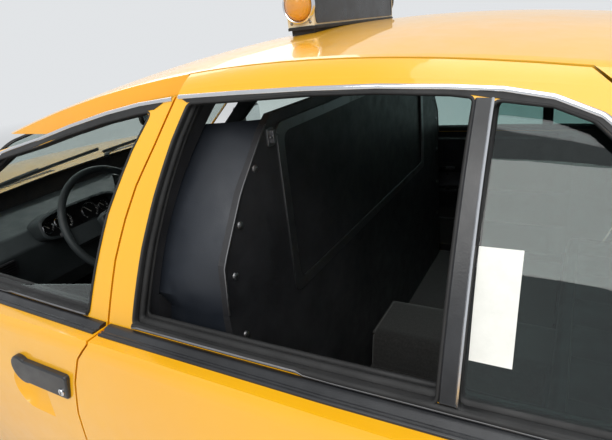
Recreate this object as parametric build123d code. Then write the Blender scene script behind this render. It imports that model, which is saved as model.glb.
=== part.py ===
from build123d import *
from math import atan2, cos, degrees, hypot, pi, radians, sin, sqrt, tan
import os

# Full-size four-door taxi cab, body on frame, long rear doors.
# Row frame in millimetres: +X to the front of the car, +Y to its left side, +Z up.
# Origin on the ground, under the middle of the car.

# Overall sizes
overall_length = 5540
wheelbase = 3066
front_overhang = 1070
front_axle_x = overall_length / 2 - front_overhang
rear_axle_x = front_axle_x - wheelbase

# Wheels and tyres
tyre_radius = 338
tyre_width = 225
rim_radius = 203
rim_width = 178
rim_wall = 7
half_track_front = 805
half_track_rear = 828
hub_radius = 58
spindle_radius = 22
spindle_clearance = 0.1
wheel_slots = 10
slot_radius = 15
slot_circle_radius = 150
lug_count = 5
lug_circle_radius = 57
lug_radius = 10
brake_disc_radius = 117
brake_disc_thickness = 26

# Shut lines, walls and clearances
shut_gap = 6
seat_gap = 0.3
panel_wall = 16
door_wall = 84
frame_wall = 44
roof_wall = 30
glass_thickness = 5
glass_inset = 16
hinge_outset = 6

# Places along the car, at the left side
body_half_width = 994
front_door_front_x = 1180
centre_pillar_x = 92
rear_door_rear_x = -1215
belt_front_z = 950
belt_rear_z = 968
sill_top_z = 292
rocker_bottom_z = 230
hood_rear_x = 1330
firewall_x = 1252
trunk_front_x = -1775
hood_half_width = 745
trunk_half_width = 742
front_arch_radius = 378
rear_arch_radius = 366
door_swing = 68
axle_z = tyre_radius

# Sections of the lower body, tail to nose. All are half widths and heights.
# x, bottom_w, bottom_z, mid_w, mid_z, corner_w, corner_z, crown_z, top_r, low_r
BODY_SECTIONS = [
    (-2790, 845, 330, 925, 640, 872, 962, 1012, 105, 60),
    (-2150, 890, 280, 968, 630, 918, 1004, 1056, 112, 60),
    (rear_axle_x, 920, 240, 990, 610, 962, 1018, 1062, 104, 60),
    (0, 925, rocker_bottom_z, body_half_width, 600, 972, 1006, 1040, 98, 60),
    (front_door_front_x, 925, rocker_bottom_z, 992, 600, 965, 988, 1024, 98, 60),
    (front_axle_x, 915, 240, 984, 600, 948, 952, 998, 104, 60),
    (2250, 890, 270, 955, 570, 905, 862, 922, 110, 60),
    (2790, 850, 300, 905, 540, 850, 738, 806, 90, 60),
]

# Sections of the greenhouse, rear to front
# x, foot_w, bow_w, bow_z, corner_w, corner_z, crown_z, corner_r
ROOF_SECTIONS = [
    (-1950, 866, 779, 1045, 622, 1190, 1232, 80),
    (-1120, 926, 818, 1126, 634, 1350, 1402, 86),
    (-520, 938, 832, 1168, 655, 1430, 1484, 90),
    (-20, 938, 832, 1164, 655, 1421, 1475, 90),
    (600, 922, 815, 1110, 634, 1314, 1368, 86),
    (1420, 886, 785, 1020, 600, 1150, 1205, 75),
]
greenhouse_foot_z = 900

# Screens: the centre line of each in the side view, and how far its ends sweep
screen_low_z = 900
screen_high_z = 1500
windshield_low_x = 1429
windshield_high_x = 391
windshield_sweep = 180
rear_window_low_x = -2044
rear_window_high_x = -990
rear_window_sweep = 150
screen_half_span = 1000
roof_half_width = 638

parts = {}


def cross_plane(x):
    """The plane across the car at x, with its own axes along the row's Y and Z."""
    return Plane(origin=(x, 0, 0), x_dir=(0, 1, 0), z_dir=(1, 0, 0))


def side_plane(y):
    """The plane along the car at y, with its own axes along the row's X and Z."""
    return Plane(origin=(0, y, 0), x_dir=(1, 0, 0), z_dir=(0, -1, 0))


def mirrored(shape):
    return mirror(shape, Plane.XZ)


def pick(shape, side):
    """The solids of shape on one side of the car: 1 is left, -1 is right."""
    kept = [s for s in shape.solids() if side * s.center().Y > 0]
    return Compound(children=kept) if len(kept) > 1 else kept[0]


def largest(shape):
    return shape.solids().sort_by(SortBy.VOLUME)[-1]


def block(x0, x1, y0, y1, z0, z1):
    """A box between two corners, for cutting regions out of the shells."""
    size = (abs(x1 - x0), abs(y1 - y0), abs(z1 - z0))
    return Pos((x0 + x1) / 2, (y0 + y1) / 2, (z0 + z1) / 2) * Box(*size)


def side_prism(points, y0, y1, radius=0):
    """A prism across the car over a closed outline of (x, z) points."""
    face = make_face(Polyline(*points, close=True))
    if radius:
        face = fillet(face.vertices(), radius)
    return extrude(side_plane(y1) * face, y1 - y0)


def belt_z(x):
    share = (front_door_front_x - x) / (front_door_front_x - rear_door_rear_x)
    return belt_front_z + share * (belt_rear_z - belt_front_z)


# Body surfaces


def body_section(x, bottom_w, bottom_z, mid_w, mid_z, corner_w, corner_z, crown_z, top_r, low_r, inset=0):
    low, mid, top = bottom_w - inset, mid_w - inset, corner_w - inset
    z0, z1, z2 = bottom_z + inset, corner_z - inset, crown_z - inset
    face = make_face([
        Line((-low, z0), (low, z0)),
        ThreePointArc((low, z0), (mid, mid_z), (top, z1)),
        ThreePointArc((top, z1), (0, z2), (-top, z1)),
        ThreePointArc((-top, z1), (-mid, mid_z), (-low, z0)),
    ])
    face = fillet(face.vertices().sort_by(Axis.Y)[-2:], top_r - inset)
    face = fillet(face.vertices().sort_by(Axis.Y)[:2], low_r)
    return cross_plane(x) * face


def plan_outline(z, nose_x, nose_sweep, tail_x, tail_sweep, half_width, corner_r):
    """The car's outline seen from above: a bowed nose and tail with round corners."""
    front, rear = nose_x - nose_sweep, tail_x + tail_sweep
    face = make_face([
        ThreePointArc((front, -half_width), (nose_x, 0), (front, half_width)),
        Line((front, half_width), (rear, half_width)),
        ThreePointArc((rear, half_width), (tail_x, 0), (rear, -half_width)),
        Line((rear, -half_width), (front, -half_width)),
    ])
    return Pos(0, 0, z) * fillet(face.vertices(), corner_r)


nose_face_x = 2688
nose_lean = 46
tail_face_x = -2716
tail_lean = 40
nose_sweep = 120
tail_sweep = 70
screen_inset = 6
screen_edge_radius = 26
end_corner_r = 190
end_edge_radius = 45


def body_solid(inset=0):
    """The lower body as one solid: sections lofted along the car, with the nose and tail cut to plan."""
    along = loft([body_section(*row, inset=inset) for row in BODY_SECTIONS])
    low = plan_outline(
        200, nose_face_x + nose_lean / 2 - inset, nose_sweep, tail_face_x - tail_lean / 2 + inset,
        tail_sweep, body_half_width + 10 - inset, end_corner_r)
    high = plan_outline(
        1120, nose_face_x - nose_lean - inset, nose_sweep, tail_face_x + tail_lean + inset,
        tail_sweep, body_half_width + 10 - inset, end_corner_r)
    blank = along & loft([low, high], ruled=True)
    ends = [e for e in blank.edges() if abs(e.center().X) > 2500 and e.center().Z > 700]
    return fillet(ends, end_edge_radius - inset) if inset < end_edge_radius - 4 else blank


def roof_section(x, foot_w, bow_w, bow_z, corner_w, corner_z, crown_z, corner_r, inset=0, top_inset=0):
    foot, bow, corner = foot_w - inset, bow_w - inset, corner_w - inset
    face = make_face([
        Line((-foot, greenhouse_foot_z), (foot, greenhouse_foot_z)),
        ThreePointArc((foot, greenhouse_foot_z), (bow, bow_z), (corner, corner_z - top_inset)),
        ThreePointArc((corner, corner_z - top_inset), (0, crown_z - top_inset), (-corner, corner_z - top_inset)),
        ThreePointArc((-corner, corner_z - top_inset), (-bow, bow_z), (-foot, greenhouse_foot_z)),
    ])
    return cross_plane(x) * fillet(face.vertices().sort_by(Axis.Y)[-2:], max(corner_r - inset, 6))


def screen_outline(z, inset):
    share = (z - screen_low_z) / (screen_high_z - screen_low_z)
    nose = windshield_low_x + share * (windshield_high_x - windshield_low_x) - 1.9 * inset
    tail = rear_window_low_x + share * (rear_window_high_x - rear_window_low_x) + 2 * inset
    front, rear = nose - windshield_sweep, tail + rear_window_sweep
    y = screen_half_span
    return Pos(0, 0, z) * make_face([
        ThreePointArc((front, -y), (nose, 0), (front, y)),
        Line((front, y), (rear, y)),
        ThreePointArc((rear, y), (tail, 0), (rear, -y)),
        Line((rear, -y), (front, -y)),
    ])


def greenhouse_solid(inset=0, top_inset=None, screen_inset=None):
    """The cab above the belt as one solid: sections lofted along the car, cut by the two screens."""
    top = inset if top_inset is None else top_inset
    screen = inset if screen_inset is None else screen_inset
    along = loft([roof_section(*row, inset=inset, top_inset=top) for row in ROOF_SECTIONS])
    return along & loft([screen_outline(z, screen) for z in (screen_low_z, screen_high_z)], ruled=True)



print("body surfaces")
body_outer = body_solid()
body_inner = body_solid(panel_wall)
body_seat = body_solid(-seat_gap)
green_sharp = greenhouse_solid()
screen_edges = [
    e for e in green_sharp.edges()
    if e.center().Z > 1000 and (abs(e.center().X) > 900 or abs(e.center().Y) < 100)]
green_outer = fillet(screen_edges, screen_edge_radius)
green_inner = greenhouse_solid(frame_wall, roof_wall, frame_wall)
glass_outer = greenhouse_solid(glass_inset, glass_inset, screen_inset)
glass_inner = greenhouse_solid(
    glass_inset + glass_thickness, glass_inset, screen_inset + glass_thickness)

thin_skin = body_outer - body_inner
green_wall = green_outer - green_inner
glass_wall = glass_outer - glass_inner

# The room inside the cab below the belt, bounded by the inner faces of the doors
cab_half = body_half_width - door_wall
cab_room = extrude(
    cross_plane(-1760) * make_face(Polyline(
        (-cab_half, 150), (cab_half, 150), (cab_half, 800), (832, 1100), (-832, 1100), (-cab_half, 800),
        close=True)),
    3200)


def belt_prism(z_edge):
    """Everything between the sloping belt plane and a level far above or below it."""
    return side_prism(
        [(2900, z_edge), (-2900, z_edge), (-2900, belt_z(-2900)), (2900, belt_z(2900))], -1100, 1100)


side_wall_low = (body_outer & belt_prism(100)) - cab_room
side_wall_high = green_wall & belt_prism(1700)

# Doors. The rear edge of each is turned about its hinge, so that it swings clear.
hinge_y = body_half_width + hinge_outset
front_hinge_x = front_door_front_x - shut_gap / 2
rear_hinge_x = centre_pillar_x - shut_gap / 2

# Half width of the outer side surface by the centre pillar: z, y
SIDE_PROFILE = [
    (200, 925), (420, 985), (600, 994), (757, 988), (870, 976), (950, 952), (975, 915), (1089, 869), (1167, 831),
    (1230, 795), (1304, 748), (1384, 689), (1430, 635), (1460, 580), (1560, 500)]
# Shut line of each door's rear edge, as it shows from the side: x, z
FRONT_DOOR_REAR = [
    (60, 200), (84, 420), (92, 600), (92, 690), (88, 764), (67, 850), (40, 913), (6, 952), (6, 975), (-4, 1089),
    (-19, 1167), (-35, 1230),
    (-64, 1304), (-87, 1384), (-95, 1430), (-108, 1560)]
REAR_DOOR_REAR = [
    (-905, 200), (-940, 400), (-1000, 560), (-1110, 700), (-1200, 790), (-1212, 960), (-1150, 1050),
    (-1062, 1180), (-960, 1290), (-905, 1340), (-850, 1390), (-827, 1408), (-800, 1440), (-740, 1560)]
# Shut lines of the sill, front pillar and roof, closed behind the door where the swing surface cuts it
FRONT_DOOR_OUTLINE = [
    (front_door_front_x, sill_top_z), (front_door_front_x, 905), (1130, 950), (672, 1258), (640, 1265),
    (411, 1306), (270, 1339), (132, 1367), (20, 1383), (-84, 1392), (-300, 1394), (-300, sill_top_z)]
REAR_DOOR_OUTLINE = [(300, sill_top_z), (300, 1500), (-1300, 1500), (-1300, sill_top_z)]


def side_half_width(z):
    for (z0, y0), (z1, y1) in zip(SIDE_PROFILE, SIDE_PROFILE[1:]):
        if z <= z1:
            return y0 + (y1 - y0) * (z - z0) / (z1 - z0)
    return SIDE_PROFILE[-1][1]


half_gap = shut_gap / 2


def swing_solid(hinge_x, shut_line, grow):
    """All that lies nearer to a door's upright hinge axis than its rear shut line does."""
    reach = [(hypot(hinge_x - x, hinge_y - side_half_width(z)) + grow, z) for x, z in shut_line]
    face = make_face(Polyline((0, reach[0][1]), *reach, (0, reach[-1][1]), close=True))
    axis_plane = Plane(origin=(hinge_x, hinge_y, 0), x_dir=(-1, 0, 0), z_dir=(0, 1, 0))
    return revolve(axis_plane * face, Axis((hinge_x, hinge_y, 0), (0, 0, 1)), 360)


def door_space(hinge_x, outline, rear_line, grow):
    """The room of a left door: its outline across the car, cut behind by its swing."""
    face = offset(make_face(Polyline(*outline, close=True)), grow, kind=Kind.INTERSECTION)
    prism = extrude(side_plane(1150) * face, 1150 - roof_half_width + grow)
    return prism & swing_solid(hinge_x, rear_line, grow)


front_space = door_space(front_hinge_x, FRONT_DOOR_OUTLINE, FRONT_DOOR_REAR, -half_gap)
front_hole = door_space(front_hinge_x, FRONT_DOOR_OUTLINE, FRONT_DOOR_REAR, half_gap)
front_keep_off = swing_solid(front_hinge_x, FRONT_DOOR_REAR, half_gap)
front_keep_in = swing_solid(front_hinge_x, FRONT_DOOR_REAR, -half_gap)
rear_space = door_space(rear_hinge_x, REAR_DOOR_OUTLINE, REAR_DOOR_REAR, -half_gap) - front_keep_off
rear_hole = door_space(rear_hinge_x, REAR_DOOR_OUTLINE, REAR_DOOR_REAR, half_gap) - front_keep_in

# Window openings seen from the side: x, z
FRONT_WINDOW = [
    (1004, 966), (612, 1244), (411, 1283), (270, 1315), (132, 1343), (20, 1360), (-31, 1366), (2, 1290),
    (38, 1172), (55, 1068), (69, 972)]
REAR_WINDOW = [
    (-68, 975), (-81, 1120), (-94, 1215), (-111, 1313), (-128, 1378), (-394, 1385), (-526, 1383), (-640, 1376),
    (-682, 1370), (-679, 979)]
QUARTER_WINDOW = [
    (-703, 979), (-705, 1366), (-786, 1354), (-838, 1334), (-872, 1304), (-985, 1180), (-1070, 1060), (-1108, 983)]
window_corner = 14


def window_prism(outline, shrink=0):
    face = fillet(make_face(Polyline(*outline, close=True)).vertices(), window_corner)
    if shrink:
        face = offset(face, -shrink, kind=Kind.INTERSECTION)
    return extrude(side_plane(1150) * face, 750)


def door_shell(space, windows):
    shell = (side_wall_low & space) + (side_wall_high & space)
    for outline in windows:
        shell -= window_prism(outline)
    return largest(shell)


def side_glass(outline):
    """A pane on the left side, curved with the cab side and seated in its window."""
    return largest(glass_wall & window_prism(outline, seat_gap))


# Door handles: a pull flap over a finger scoop pressed into the door
handle_z = 833
handle_height = 65
handle_length = 204
handle_reach = 1003
front_handle_x = 88
rear_handle_x = -1165
scoop_radius = 75
scoop_depth = 12
scoop_drop = 58
scoop_length = 75


def make_scoop(rear_x):
    """The finger scoop below a handle: steep at its rear end, fading out to the front."""
    x0 = rear_x + handle_length / 2
    place = Pos(x0, side_half_width(handle_z) + scoop_radius - scoop_depth, handle_z - scoop_drop)
    bar = Pos(scoop_length / 2, 0, 0) * Rot(0, 90, 0) * Cylinder(scoop_radius, scoop_length)
    return place * (bar + Pos(scoop_length, 0, 0) * Sphere(scoop_radius))


print("doors")
front_door = largest(door_shell(front_space, [FRONT_WINDOW]) - make_scoop(front_handle_x))
rear_door = largest(door_shell(rear_space, [REAR_WINDOW, QUARTER_WINDOW]) - make_scoop(rear_handle_x))
parts["door_front_left"] = front_door
parts["door_front_right"] = mirrored(front_door)
parts["door_rear_left"] = rear_door
parts["door_rear_right"] = mirrored(rear_door)
# The driver's pane is wound down, so that only a wedge of it shows above the belt
lowered_pane = side_prism([(-200, 900), (-200, 1068), (470, 961), (470, 900)], 600, 1100)
parts["glass_front_left"] = largest(side_glass(FRONT_WINDOW) & lowered_pane)
parts["glass_front_right"] = mirrored(side_glass(FRONT_WINDOW))
parts["glass_rear_left"] = side_glass(QUARTER_WINDOW)
parts["glass_rear_right"] = mirrored(
    Compound(children=[side_glass(REAR_WINDOW), side_glass(QUARTER_WINDOW)]))

# Structure inside the door frames: roof rails and centre pillars
rail_outer = greenhouse_solid(frame_wall + shut_gap, roof_wall, frame_wall + shut_gap)
rail_inner = greenhouse_solid(frame_wall + shut_gap + 28, roof_wall + 26, frame_wall + shut_gap + 28)
rail_drop = 1.4 * shut_gap
rail_room = Pos(0, 0, -rail_drop) * green_inner
rail_layer = (rail_outer - rail_inner) & rail_room

# Screen openings seen from the front: low half width, low and knee heights, top half width, corner and crown heights
WINDSHIELD_OPENING = (826, 925, 945, 602, 1266, 1322)
REAR_WINDOW_OPENING = (784, 925, 1000, 596, 1292, 1350)
screen_corner = 40


def screen_prism(opening, x0, x1, shrink=0):
    low, z_low, z_knee, top, z_top, z_crown = opening
    face = make_face([
        Polyline((top, z_top), (low, z_knee), (low, z_low), (-low, z_low), (-low, z_knee), (-top, z_top)),
        ThreePointArc((-top, z_top), (0, z_crown), (top, z_top)),
    ])
    face = fillet(face.vertices().filter_by(lambda v: abs(v.Y - z_top) < 1), screen_corner)
    if shrink:
        face = offset(face, -shrink, kind=Kind.INTERSECTION)
    return extrude(cross_plane(x0) * face, x1 - x0)


lifted_body = Pos(0, 0, seat_gap) * body_outer
windshield_hole = screen_prism(WINDSHIELD_OPENING, 350, 1500)
rear_window_hole = screen_prism(REAR_WINDOW_OPENING, -2100, -900)
above_hood = side_wall_high - body_outer


def y_cylinder(x, z, radius, y0, y1):
    return Pos(x, (y0 + y1) / 2, z) * Rot(90, 0, 0) * Cylinder(radius, abs(y1 - y0))


front_arch = y_cylinder(front_axle_x, axle_z, front_arch_radius, 640, 1100)
rear_arch = y_cylinder(rear_axle_x, axle_z, rear_arch_radius, 700, 1100)

# Levels at the nose and tail
lamp_low_z = 656
lamp_high_z = 774
bumper_top_z = 650
bumper_low_z = 236
front_bumper_rear_x = front_axle_x + front_arch_radius + 16
rear_bumper_front_x = rear_axle_x - rear_arch_radius - 16
tail_lamp_low_z = 700
tail_lamp_high_z = 912
tail_lamp_inner_y = 482
tail_lamp_front_x = -2470
headlamp_inner_y = 412
headlamp_rear_x = 2340
quarter_split_x = -1330
inner_sill_half = 840
roof_split_z = 1300


# Inner roof rail and upper centre pillar seen from the side: x, z
RAIL_OUTLINE = [
    (-1000, 1345), (-860, 1354), (-786, 1364), (-719, 1374), (-526, 1386), (-394, 1388), (-91, 1384), (132, 1352),
    (411, 1292), (500, 1274), (500, 1500), (-1000, 1500)]
PILLAR_OUTLINE = [
    (-64, 966), (61, 966), (50, 1068), (32, 1172), (-4, 1290), (-36, 1366), (-44, 1410), (-122, 1410), (-105, 1313),
    (-88, 1215), (-75, 1120)]


gusset_room = block(-1000, -942, 560, 660, 1345, 1400)
GUSSET_CUT = (-1000 - seat_gap, -942 + seat_gap, 550, roof_half_width + seat_gap, 1345 - seat_gap, 1410)
# Post behind the front wheel that carries the front door's hinges
post_block = (front_door_front_x + half_gap, firewall_x - 2, inner_sill_half, 904, 236, 1000)


def grown(box, gap):
    """The corners of a block moved out by a gap."""
    x0, x1, y0, y1, z0, z1 = box
    return block(x0 - gap, x1 + gap, y0 - gap, y1 + gap, z0 - gap, z1 + gap)


def make_body_side():
    """Sill, pillars, roof rail and quarter panel: one pressing, as on the real car."""
    sill = side_wall_low & block(quarter_split_x, front_door_front_x + half_gap, 800, 1100, 100, 1100)
    upper = above_hood & (block(-2100, 1500, roof_half_width, 1100, 800, 1600)
                          + block(-2100, 1500, 480, 700, 800, roof_split_z))
    upper = upper - windshield_hole - rear_window_hole
    skin = thin_skin & block(-2790, quarter_split_x, 0, 1100, 100, 1300)
    skin -= block(trunk_front_x - 1100, quarter_split_x, 0, trunk_half_width + half_gap, 100, 1300)
    skin -= block(-2790, quarter_split_x, 0, 880, 100, 420)
    quarter = skin - block(-2800, rear_bumper_front_x, 0, 1100, 100, bumper_top_z + 2)
    quarter -= block(-2800, tail_lamp_front_x, 0, 1100, tail_lamp_low_z - 2, tail_lamp_high_z + 2)
    inner_sill = block(-700, front_door_front_x + half_gap, inner_sill_half, cab_half, 236,
                       sill_top_z - half_gap)
    pillar_low = extrude(
        cross_plane(-64) * make_face(Polyline(
            (cab_half - 6, 236), (cab_half - 6, 795), (864, 950), (838, 995), (800, 995), (808, 950), (853, 795),
            (853, 236), close=True)), 124)
    rail = rail_layer & side_prism(RAIL_OUTLINE, 540, 1000)
    gusset = gusset_room & glass_inner
    pillar_high = rail_layer & side_prism(PILLAR_OUTLINE, 540, 1000)
    front_post = block(*post_block)
    front_post += block(1126, front_door_front_x + 10, inner_sill_half, 862, 236, 940)
    side = (sill + upper) - front_hole - rear_hole
    side = (side + quarter) - rear_arch
    return side + [inner_sill, pillar_low, pillar_high, rail, gusset, front_post]


print("body side")
side_shape = largest(make_body_side())
parts["body_side_left"] = side_shape
parts["body_side_right"] = mirrored(side_shape)

roof = green_wall & (block(-1300, 900, -roof_half_width, roof_half_width, roof_split_z, 1600)
                     + block(-1300, 900, -480, 480, 1200, 1600))
gusset_slot = block(*GUSSET_CUT) & (Pos(0, 0, seat_gap) * glass_inner)
roof = roof - windshield_hole - rear_window_hole - rear_hole - mirrored(rear_hole)
roof = roof - gusset_slot - mirrored(gusset_slot)
parts["roof_panel"] = largest(roof)

screens = glass_wall - lifted_body
parts["windshield"] = largest(screens & screen_prism(WINDSHIELD_OPENING, 350, 1500, seat_gap))
parts["rear_window"] = largest(screens & screen_prism(REAR_WINDOW_OPENING, -2100, -900, seat_gap))

cowl = thin_skin & block(1000, hood_rear_x - half_gap, -hood_half_width, hood_half_width, 900, 1200)
parts["cowl_panel"] = largest(cowl - green_outer)
shelf = thin_skin & block(trunk_front_x + half_gap, -1430, -trunk_half_width, trunk_half_width, 900, 1200)
parts["parcel_shelf"] = largest(shelf)

hood = thin_skin & block(hood_rear_x + half_gap, 2800, -hood_half_width + half_gap,
                         hood_half_width - half_gap, lamp_high_z + half_gap, 1200)
parts["hood"] = largest(hood)

lid_top = block(-2800, trunk_front_x - half_gap, -trunk_half_width + half_gap, trunk_half_width - half_gap,
                tail_lamp_high_z + 4, 1200)
lid_rear = block(-2800, -2560, -tail_lamp_inner_y + half_gap, tail_lamp_inner_y - half_gap,
                 tail_lamp_low_z + 4, 1200)
trunk_lid = largest(thin_skin & (lid_top + lid_rear))

# Rear number plate: a flat seat on the trunk lid's leaning tail, with four screw holes
plate_z = 800
plate_seat_x = -2699
plate_seat_half_y = 158
plate_seat_half_z = 82
plate_hole_half_y = 89
plate_hole_half_z = 60.5
plate_hole_radius = 3.5
plate_seat = block(-2800, -2684, -plate_seat_half_y, plate_seat_half_y, plate_z - plate_seat_half_z,
                   plate_z + plate_seat_half_z)
trunk_lid += plate_seat & block(plate_seat_x, -2600, -400, 400, 600, 1000)
trunk_lid -= plate_seat & block(-2800, plate_seat_x, -400, 400, 600, 1000)
for y in (-plate_hole_half_y, plate_hole_half_y):
    for z in (plate_z - plate_hole_half_z, plate_z + plate_hole_half_z):
        trunk_lid -= Pos(-2690, y, z) * Rot(0, 90, 0) * Cylinder(plate_hole_radius, 120)
parts["trunk_lid"] = largest(trunk_lid)


def make_fender():
    fender = thin_skin & block(front_door_front_x + half_gap, 2800, 640, 1100, 100, 1200)
    fender -= block(1100, 2800, 0, hood_half_width + half_gap, lamp_high_z - 2, 1200)
    fender -= block(hood_rear_x + 20, 2800, 0, 900, 100, 420)
    fender -= block(1100, 1300, 0, 895, 100, 420)
    fender -= block(front_bumper_rear_x, 2800, 0, 1100, 100, bumper_top_z + 2)
    fender -= block(headlamp_rear_x, 2800, 0, 1100, lamp_low_z - 4, lamp_high_z + 2)
    fender = fender - front_arch - green_outer - above_hood - grown(post_block, seat_gap)
    return largest(fender)


print("fender")
fender_shape = make_fender()
parts["fender_left"] = fender_shape
parts["fender_right"] = mirrored(fender_shape)

# Lamps and grille, flush with the body
body_deep = body_solid(46)
deep_skin = body_outer - body_deep
lamp_room = block(headlamp_rear_x + 3, 2800, headlamp_inner_y, 1100, lamp_low_z, lamp_high_z - 2)
headlamp = largest(deep_skin & lamp_room)
parts["headlamps"] = Compound(children=[headlamp, mirrored(headlamp)])
tail_room = block(-2800, tail_lamp_front_x - 3, tail_lamp_inner_y, 1100, tail_lamp_low_z, tail_lamp_high_z)
tail_lamp = largest(deep_skin & tail_room)
parts["tail_lamps"] = Compound(children=[tail_lamp, mirrored(tail_lamp)])

grille_half = headlamp_inner_y - 7
grille_frame = deep_skin & block(2400, 2800, -grille_half, grille_half, lamp_low_z, lamp_high_z - 2)
grille_frame -= block(2300, 2800, -grille_half + 14, grille_half - 14, lamp_low_z + 12, lamp_high_z - 14)
slat_pitch = 42
slat_places = [slat_pitch * (i - 9) for i in range(19)]
slat_cells = [
    block(2400, 2800, y - slat_pitch / 2 + 3, y + slat_pitch / 2 - 3, lamp_low_z + 12, lamp_high_z - 14)
    for y in slat_places]
slats = (body_inner - body_deep) & block(2400, 2800, -grille_half + 8, grille_half - 8, lamp_low_z + 6,
                                         lamp_high_z - 8)
for cell in slat_cells[:-1]:
    slats -= Pos(0, slat_pitch / 2, 0) * cell
parts["grille"] = largest(grille_frame + slats)

tail_panel_half = trunk_half_width + half_gap - seat_gap
tail_panel = thin_skin & block(
    -2800, -2480, -tail_panel_half, tail_panel_half, bumper_top_z + 2, tail_lamp_low_z - seat_gap)
tail_panel += body_inner & block(-2800, -2600, -tail_panel_half, tail_panel_half, bumper_top_z + 2, bumper_top_z + 14)
parts["tail_panel"] = largest(tail_panel)


def plan_prism(points, z0, z1):
    """An upright prism over a closed outline of (x, y) points."""
    return extrude(Pos(0, 0, z0) * make_face(Polyline(*points, close=True)), z1 - z0)


# Bumpers: z, how far back from the car's ends, half width
BUMPER_ROWS = [(bumper_low_z, 40, 930), (310, 8, 958), (440, 0, 966), (570, 5, 964), (bumper_top_z, 30, 942)]
beam_x = 2640


def bumper_blank(inset=0):
    half = overall_length / 2
    return loft([
        plan_outline(z, half - back - inset, nose_sweep, back + inset - half, tail_sweep, width - inset,
                     end_corner_r - inset)
        for z, back, width in BUMPER_ROWS])


print("bumpers")
bumper_shell = bumper_blank()
bumper_shell -= bumper_blank(20) & block(-beam_x, beam_x, -1100, 1100, bumper_low_z + 20, bumper_top_z - 20)
bumper_shell -= block(-beam_x, beam_x, -858, 858, 100, 900)
parts["front_bumper"] = largest(bumper_shell & block(front_bumper_rear_x + 4, 2800, -1100, 1100, 100, 900))
parts["rear_bumper"] = largest(bumper_shell & block(-2800, rear_bumper_front_x - 4, -1100, 1100, 100, 900))

# Frame: rails, crossmembers and front suspension arms
rail_inner_y = 385
rail_outer_y = 465
kick_inner_y = 460
kick_outer_y = 540
side_rail_y = 725
side_rail_outer_y = 795
rail_top_z = 330
front_rail_top_z = 380
kick_top_z = 480
kingpin_y = 745
arm_low_z = 215
arm_high_z = 462
knuckle_face_y = 748

ARM_PLAN = [(30, knuckle_face_y), (80, 560), (130, 420), (-130, 420), (-80, 560), (-30, knuckle_face_y)]
arm_plan = [(front_axle_x + dx, y) for dx, y in ARM_PLAN]


def make_frame_half():
    front = block(1270, beam_x - seat_gap, rail_inner_y, rail_outer_y, 270, front_rail_top_z)
    flare = plan_prism([(1290, 385), (1290, 465), (1040, 795), (960, 795), (960, 725), (1000, 725), (1215, 385)],
                       236, rail_top_z)
    middle = block(-700, 1000, side_rail_y, side_rail_outer_y, 236, rail_top_z)
    flare_rear = plan_prism(
        [(-640, 725), (-640, 795), (-700, 795), (-900, 540), (-1290, 540), (-1290, 460), (-880, 460), (-690, 725)],
        236, rail_top_z)
    riser = block(-1290, -1205, kick_inner_y, kick_outer_y, 236, kick_top_z)
    kick = block(seat_gap - beam_x, -1205, kick_inner_y, kick_outer_y, 400, kick_top_z)
    tower = block(1560, 1840, rail_inner_y, rail_outer_y, front_rail_top_z - 5, 505)
    arms = plan_prism(arm_plan, 190, arm_low_z) + plan_prism(arm_plan, arm_high_z, 484)
    return front + flare + middle + flare_rear + riser + kick + tower + arms


print("chassis")
frame_half = make_frame_half()
frame_shape = frame_half + mirrored(frame_half)
frame_shape += block(1590, 1810, -430, 430, 185, 272)
frame_shape += block(340, 430, -740, 740, 236, 262)
frame_shape += block(-880, -840, -470, 470, 240, 300)
frame_shape += block(-2060, -2000, -470, 470, 410, 470)
frame_shape += block(-2340, -2280, -470, 470, 410, 470)
parts["chassis_frame"] = largest(frame_shape)

# Floor, tunnel, firewall, wheelhouses and trunk floor
floor_low_z = rail_top_z + seat_gap
floor_top_z = 342
sheet = 12
trunk_floor_z = kick_top_z + seat_gap
tunnel_front = block(640, firewall_x + 6, -170, 170, floor_low_z, 600)
tunnel_rear = block(-1186, 650, -112, 112, floor_low_z, 462)
tunnel_hollow = block(628, firewall_x + 20, -158, 158, 300, 588) + block(-1200, 660, -100, 100, 300, 450)


under_panels = Pos(0, 0, -seat_gap) * body_inner
axle_tube_radius = 40


def make_floor():
    floor = block(-1192, firewall_x + sheet, -840 + seat_gap, 840 - seat_gap, floor_low_z, floor_top_z)
    floor += tunnel_front + tunnel_rear
    floor += block(firewall_x, firewall_x + sheet, -835, 835, floor_low_z, 1100) & under_panels
    floor += block(-1192, -1180, -689, 689, floor_low_z, trunk_floor_z + sheet)
    floor += block(-2600 + seat_gap, -1180, -689, 689, trunk_floor_z, trunk_floor_z + sheet)
    floor += block(-2600 + seat_gap, -2588, -858, 858, trunk_floor_z, 690)
    for side in (1, -1):
        floor -= block(-1733, -997, side * 700, side * 905, 200, 700)
        house = block(-1745, -985, side * 689, side * 700, floor_low_z, 742)
        house += block(-997, -985, side * 689, side * 905, floor_low_z, 742)
        house += block(-1745, -1733, side * 689, side * 905, trunk_floor_z, 742)
        house += block(-1745, -985, side * 689, side * 905, 730, 742)
        house += block(-2600 + seat_gap, -1733, side * 689, side * 858, trunk_floor_z, trunk_floor_z + sheet)
        house += block(-640, 1120, side * 830, side * (840 - seat_gap), 245, floor_top_z)
        apron = block(firewall_x, 2130, side * 496, side * 508, front_rail_top_z + seat_gap, 744)
        apron += block(firewall_x, 2130, side * 496, side * 925, 732, 744)
        apron -= block(front_axle_x - 150, front_axle_x + 150, side * 480, side * 520, 440, 506)
        stops = block(1345, 1375, side * 500, side * 530, 740, 1100)
        stops += block(-1812, -1790, side * 705, side * 735, trunk_floor_z, 1100)
        stops += block(-2600 + seat_gap, -2588, side * 400, side * 440, 680, 1100)
        floor += house + apron + (stops & under_panels)
    axle_hole = y_cylinder(rear_axle_x, axle_z, axle_tube_radius + 10, -720, 720)
    return largest(floor - tunnel_hollow - axle_hole)


parts["floor_pan"] = make_floor()


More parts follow.
